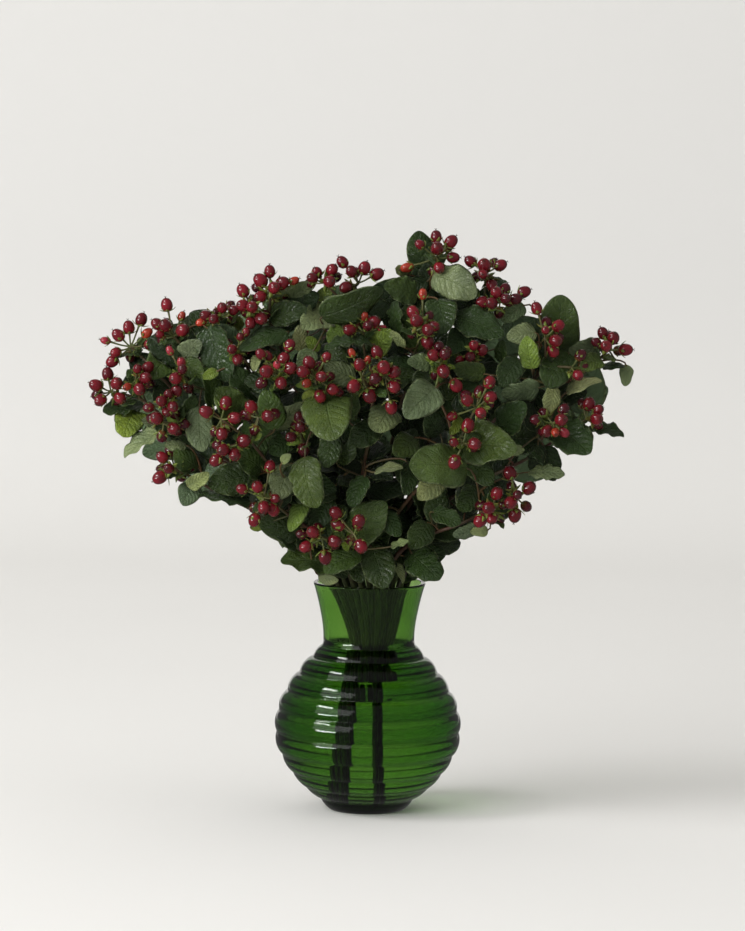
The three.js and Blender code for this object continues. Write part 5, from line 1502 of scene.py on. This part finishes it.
def hidden_berries(layout, side, draw):
    """A few berries on the far side of each hub, where the ones in front leave room."""
    spots = []
    for number, hub in enumerate(layout["hubs"]):
        for _ in range(HIDDEN_BERRIES):
            for _ in range(HIDDEN_TRIES):
                angle = draw() * 2 * math.pi
                reach = 6 + draw() * 7
                at = hub + vec(math.cos(angle) * reach, -side * (3 + draw() * 7), math.sin(angle) * reach)
                size = 0.8 + draw() * 0.2
                others = [s["at"] for s in layout["berries"] + spots] + layout["hubs"]
                if min(length_of(at - other) for other in others) > BERRY_RADIUS * 2.05:
                    # each takes the dark look, painted shade behind the berries in front
                    spots.append({"hub": number, "at": at, "size": size, "look": "d"})
                    break
    return spots


def add_bracts(blades, wood, layout, draw):
    """Small leaves in pairs on the stalk below the berries."""
    u = unit(np.cross(layout["outward"], vec(0.2, 1, 0.1)))
    start = draw() * math.pi
    for k in range(BRACTS):
        out = turned(u, layout["outward"], start + k * math.pi / 2 + draw() * 0.4)
        root = layout["base"] + layout["outward"] * (3.5 if k % 2 else 7.0)
        heading = unit(out + layout["outward"] * (0.25 + draw() * 0.5))
        length = 12 + draw() * 8
        face = unit(layout["outward"] + vec(0, -0.5, 0.4))
        base = root + heading * 2.2
        leaf = blade(base, heading, length, length * (0.5 + draw() * 0.14), face)
        add_leaf(blades, leaf, 2 if draw() < 0.4 else 1, draw)
        wood.tube([root, base + heading * 0.8], [0.65, 0.55], 5, (0.10, 0.11, 0.035, 1.0))


def build_cluster(number, layout, berry, sepal, bark, leaf_skin):
    name = "berry_cluster_%02d" % number
    draw = random_from(9000 + number * 53)
    fruit, green, wood, blades = Skin(), Skin(), Skin(), Skin()
    foot = layout["base"] + layout["outward"] * 0.4
    fork = layout["base"] + layout["outward"] * 4
    twig = (0.080, 0.052, 0.022, 1.0)
    side = -1 if number <= len(FRONT_CLUSTERS) else 1
    for hub in layout["hubs"]:
        middle = fork * 0.5 + hub * 0.5 + layout["outward"] * 0.8
        wood.tube(smooth_path([foot, fork, middle, hub], 3), PEDUNCLE_RADII, PEDUNCLE_SIDES, twig)
    for spot in layout["berries"] + hidden_berries(layout, side, draw):
        hub = layout["hubs"][spot["hub"]]
        axis = unit(spot["at"] - hub)
        u, v, half = add_berry(fruit, spot["at"], axis, spot["size"], spot["look"], draw)
        start = hub - axis * 0.6
        foot_of = spot["at"] - axis * (half * 0.9)
        bow = (start + foot_of) / 2 + vec(0, 0, -0.6)
        green_twig = (0.115, 0.100 + draw() * 0.05, 0.034, 1.0)
        wood.tube(smooth_path([start, bow, foot_of], 3), PEDICEL_RADII, STALK_SIDES, green_twig)
        add_calyx(green, wood, spot["at"], axis, u, v, half, spot["size"], draw)
    add_bracts(blades, wood, layout, draw)
    for skin, part, material in ((fruit, "fruit", berry), (green, "sepals", sepal), (wood, "stalks", bark),
                                 (blades, "bracts", leaf_skin)):
        piece = skin.make(name + "_" + part, [material])
        settle(piece, name)


# ------------------------------------------------------------------ stage, light, camera
FLOOR_REACH = 40.0
SWEEP_FROM = 1.2
SWEEP_BEND = 1.4
SWEEP_POINTS = 24
WALL_AT = 3.2
WALL_TOP = 7.0
MIRRORED_HALF = 0.95
FLOOR_DROP = 0.0003


def build_backdrop():
    """A floor that sweeps up into a wall far behind the vase. The glass mirrors only the wall's middle."""
    floor = [(-FLOOR_REACH, 0.0), (SWEEP_FROM, 0.0)]
    bend = [(WALL_AT - SWEEP_BEND + SWEEP_BEND * math.sin(a), SWEEP_BEND - SWEEP_BEND * math.cos(a))
            for a in np.linspace(0, math.pi / 2, SWEEP_POINTS)]
    wall = [floor[1]] + bend + [(WALL_AT, WALL_TOP)]
    paper = backdrop_material()
    for name, line, left, right, mirrored in (
            ("floor", floor, -FLOOR_REACH, FLOOR_REACH, False),
            ("wall_left", wall, -FLOOR_REACH, -MIRRORED_HALF, False),
            ("wall_middle", wall, -MIRRORED_HALF, MIRRORED_HALF, True),
            ("wall_right", wall, MIRRORED_HALF, FLOOR_REACH, False)):
        points = [(x, y, z - FLOOR_DROP) for y, z in line for x in (left, right)]
        faces = [(2 * i, 2 * i + 1, 2 * i + 3, 2 * i + 2) for i in range(len(line) - 1)]
        mesh = bpy.data.meshes.new(name)
        mesh.from_pydata(points, [], faces)
        mesh.polygons.foreach_set("use_smooth", np.full(len(mesh.polygons), True))
        mesh.materials.append(paper)
        sheet = put(name, mesh)
        sheet.visible_glossy = mirrored


def area_light(name, place, aim, size, power, shine):
    lamp = bpy.data.lights.new(name, "AREA")
    lamp.shape = "RECTANGLE"
    lamp.size, lamp.size_y = size
    lamp.energy = power
    holder = put(name, lamp)
    holder.location = place
    holder.rotation_euler = (Vector(aim) - Vector(place)).to_track_quat("-Z", "Y").to_euler()
    holder.visible_glossy = shine


# name, degrees to the left of the camera, degrees up, width and height in metres, watts, whether mirrored
KEYS = [
    ("key_low", 53, 4, (2.4, 0.5), 70, True),
    ("key_high", 70, 42, (1.9, 0.7), 64, True),
    ("key_broad", 44, 28, (5.2, 3.0), 135, False),
    ("key_glow", 48, 24, (4.6, 2.8), 45, True),
]
LIT_POINT = (0, 0, 0.16)
KEY_DISTANCE = 5.0
WORLD_COLOUR = (1.0, 0.99, 0.97, 1)
WORLD_LIGHT = 0.46
WORLD_MIRRORED = 0.15


def build_light():
    """Soft light from the left, of which the glass mirrors only some lamps, one lamp above, and a pale
    world that the glass mirrors as a darker one."""
    world = bpy.data.worlds.new("studio")
    bpy.context.scene.world = world
    world.use_nodes = True
    nodes, links = world.node_tree.nodes, world.node_tree.links
    background = nodes["Background"].inputs
    background[0].default_value = WORLD_COLOUR
    strength = nodes.new("ShaderNodeMapRange")
    strength.inputs[3].default_value, strength.inputs[4].default_value = WORLD_LIGHT, WORLD_MIRRORED
    links.new(nodes.new("ShaderNodeLightPath").outputs["Is Glossy Ray"], strength.inputs[0])
    links.new(strength.outputs[0], background[1])
    aim = Vector(LIT_POINT)
    for name, turn, rise, size, power, shine in KEYS:
        turn, rise = math.radians(turn), math.radians(rise)
        out = math.cos(rise)
        towards = Vector((-math.sin(turn) * out, -math.cos(turn) * out, math.sin(rise)))
        area_light(name, aim + towards * KEY_DISTANCE, aim, size, power, shine)
    area_light("top", (0.8, 0.3, 3.4), (0.8, 0.3, 0), (5.0, 5.0), 22, False)


PIXELS_TALL = 931
CAMERA_TARGET = (0.0013, 0, 0.302)
MM_PER_PIXEL = 0.871
SENSOR_WIDTH = 36.0
CLIP_END = 60
CAMERA_ROLL = math.radians(0.73)


def build_camera():
    eye = Vector(EYE) * MM
    aim = Vector(CAMERA_TARGET)
    focal_pixels = (aim - eye).length / (MM_PER_PIXEL * MM)
    lens = bpy.data.cameras.new("camera")
    lens.sensor_width = SENSOR_WIDTH
    lens.lens = focal_pixels / PIXELS_TALL * SENSOR_WIDTH
    lens.clip_end = CLIP_END
    holder = put("camera", lens)
    forward = (aim - eye).normalized()
    right = forward.cross(Vector((0, 0, 1))).normalized()
    up = right.cross(forward)
    c, s = math.cos(CAMERA_ROLL), math.sin(CAMERA_ROLL)
    x_axis = right * c + up * s
    y_axis = up * c - right * s
    turn = Matrix((x_axis, y_axis, -forward)).transposed().to_4x4()
    holder.matrix_world = Matrix.Translation(eye) @ turn
    bpy.context.scene.camera = holder


def main():
    scene = bpy.context.scene
    scene.view_settings.view_transform = "Standard"
    scene.cycles.use_denoising = True
    build_camera()
    build_light()
    build_backdrop()
    build_water(build_vase())
    layouts, stems = grow()
    leaf_skin, bark = leaf_material(), bark_material()
    berry, sepal = berry_material(), sepal_material()
    for i, stem in enumerate(stems):
        build_stem(i + 1, stem, leaf_skin, bark)
    for i, layout in enumerate(layouts):
        build_cluster(i + 1, layout, berry, sepal, bark, leaf_skin)


main()
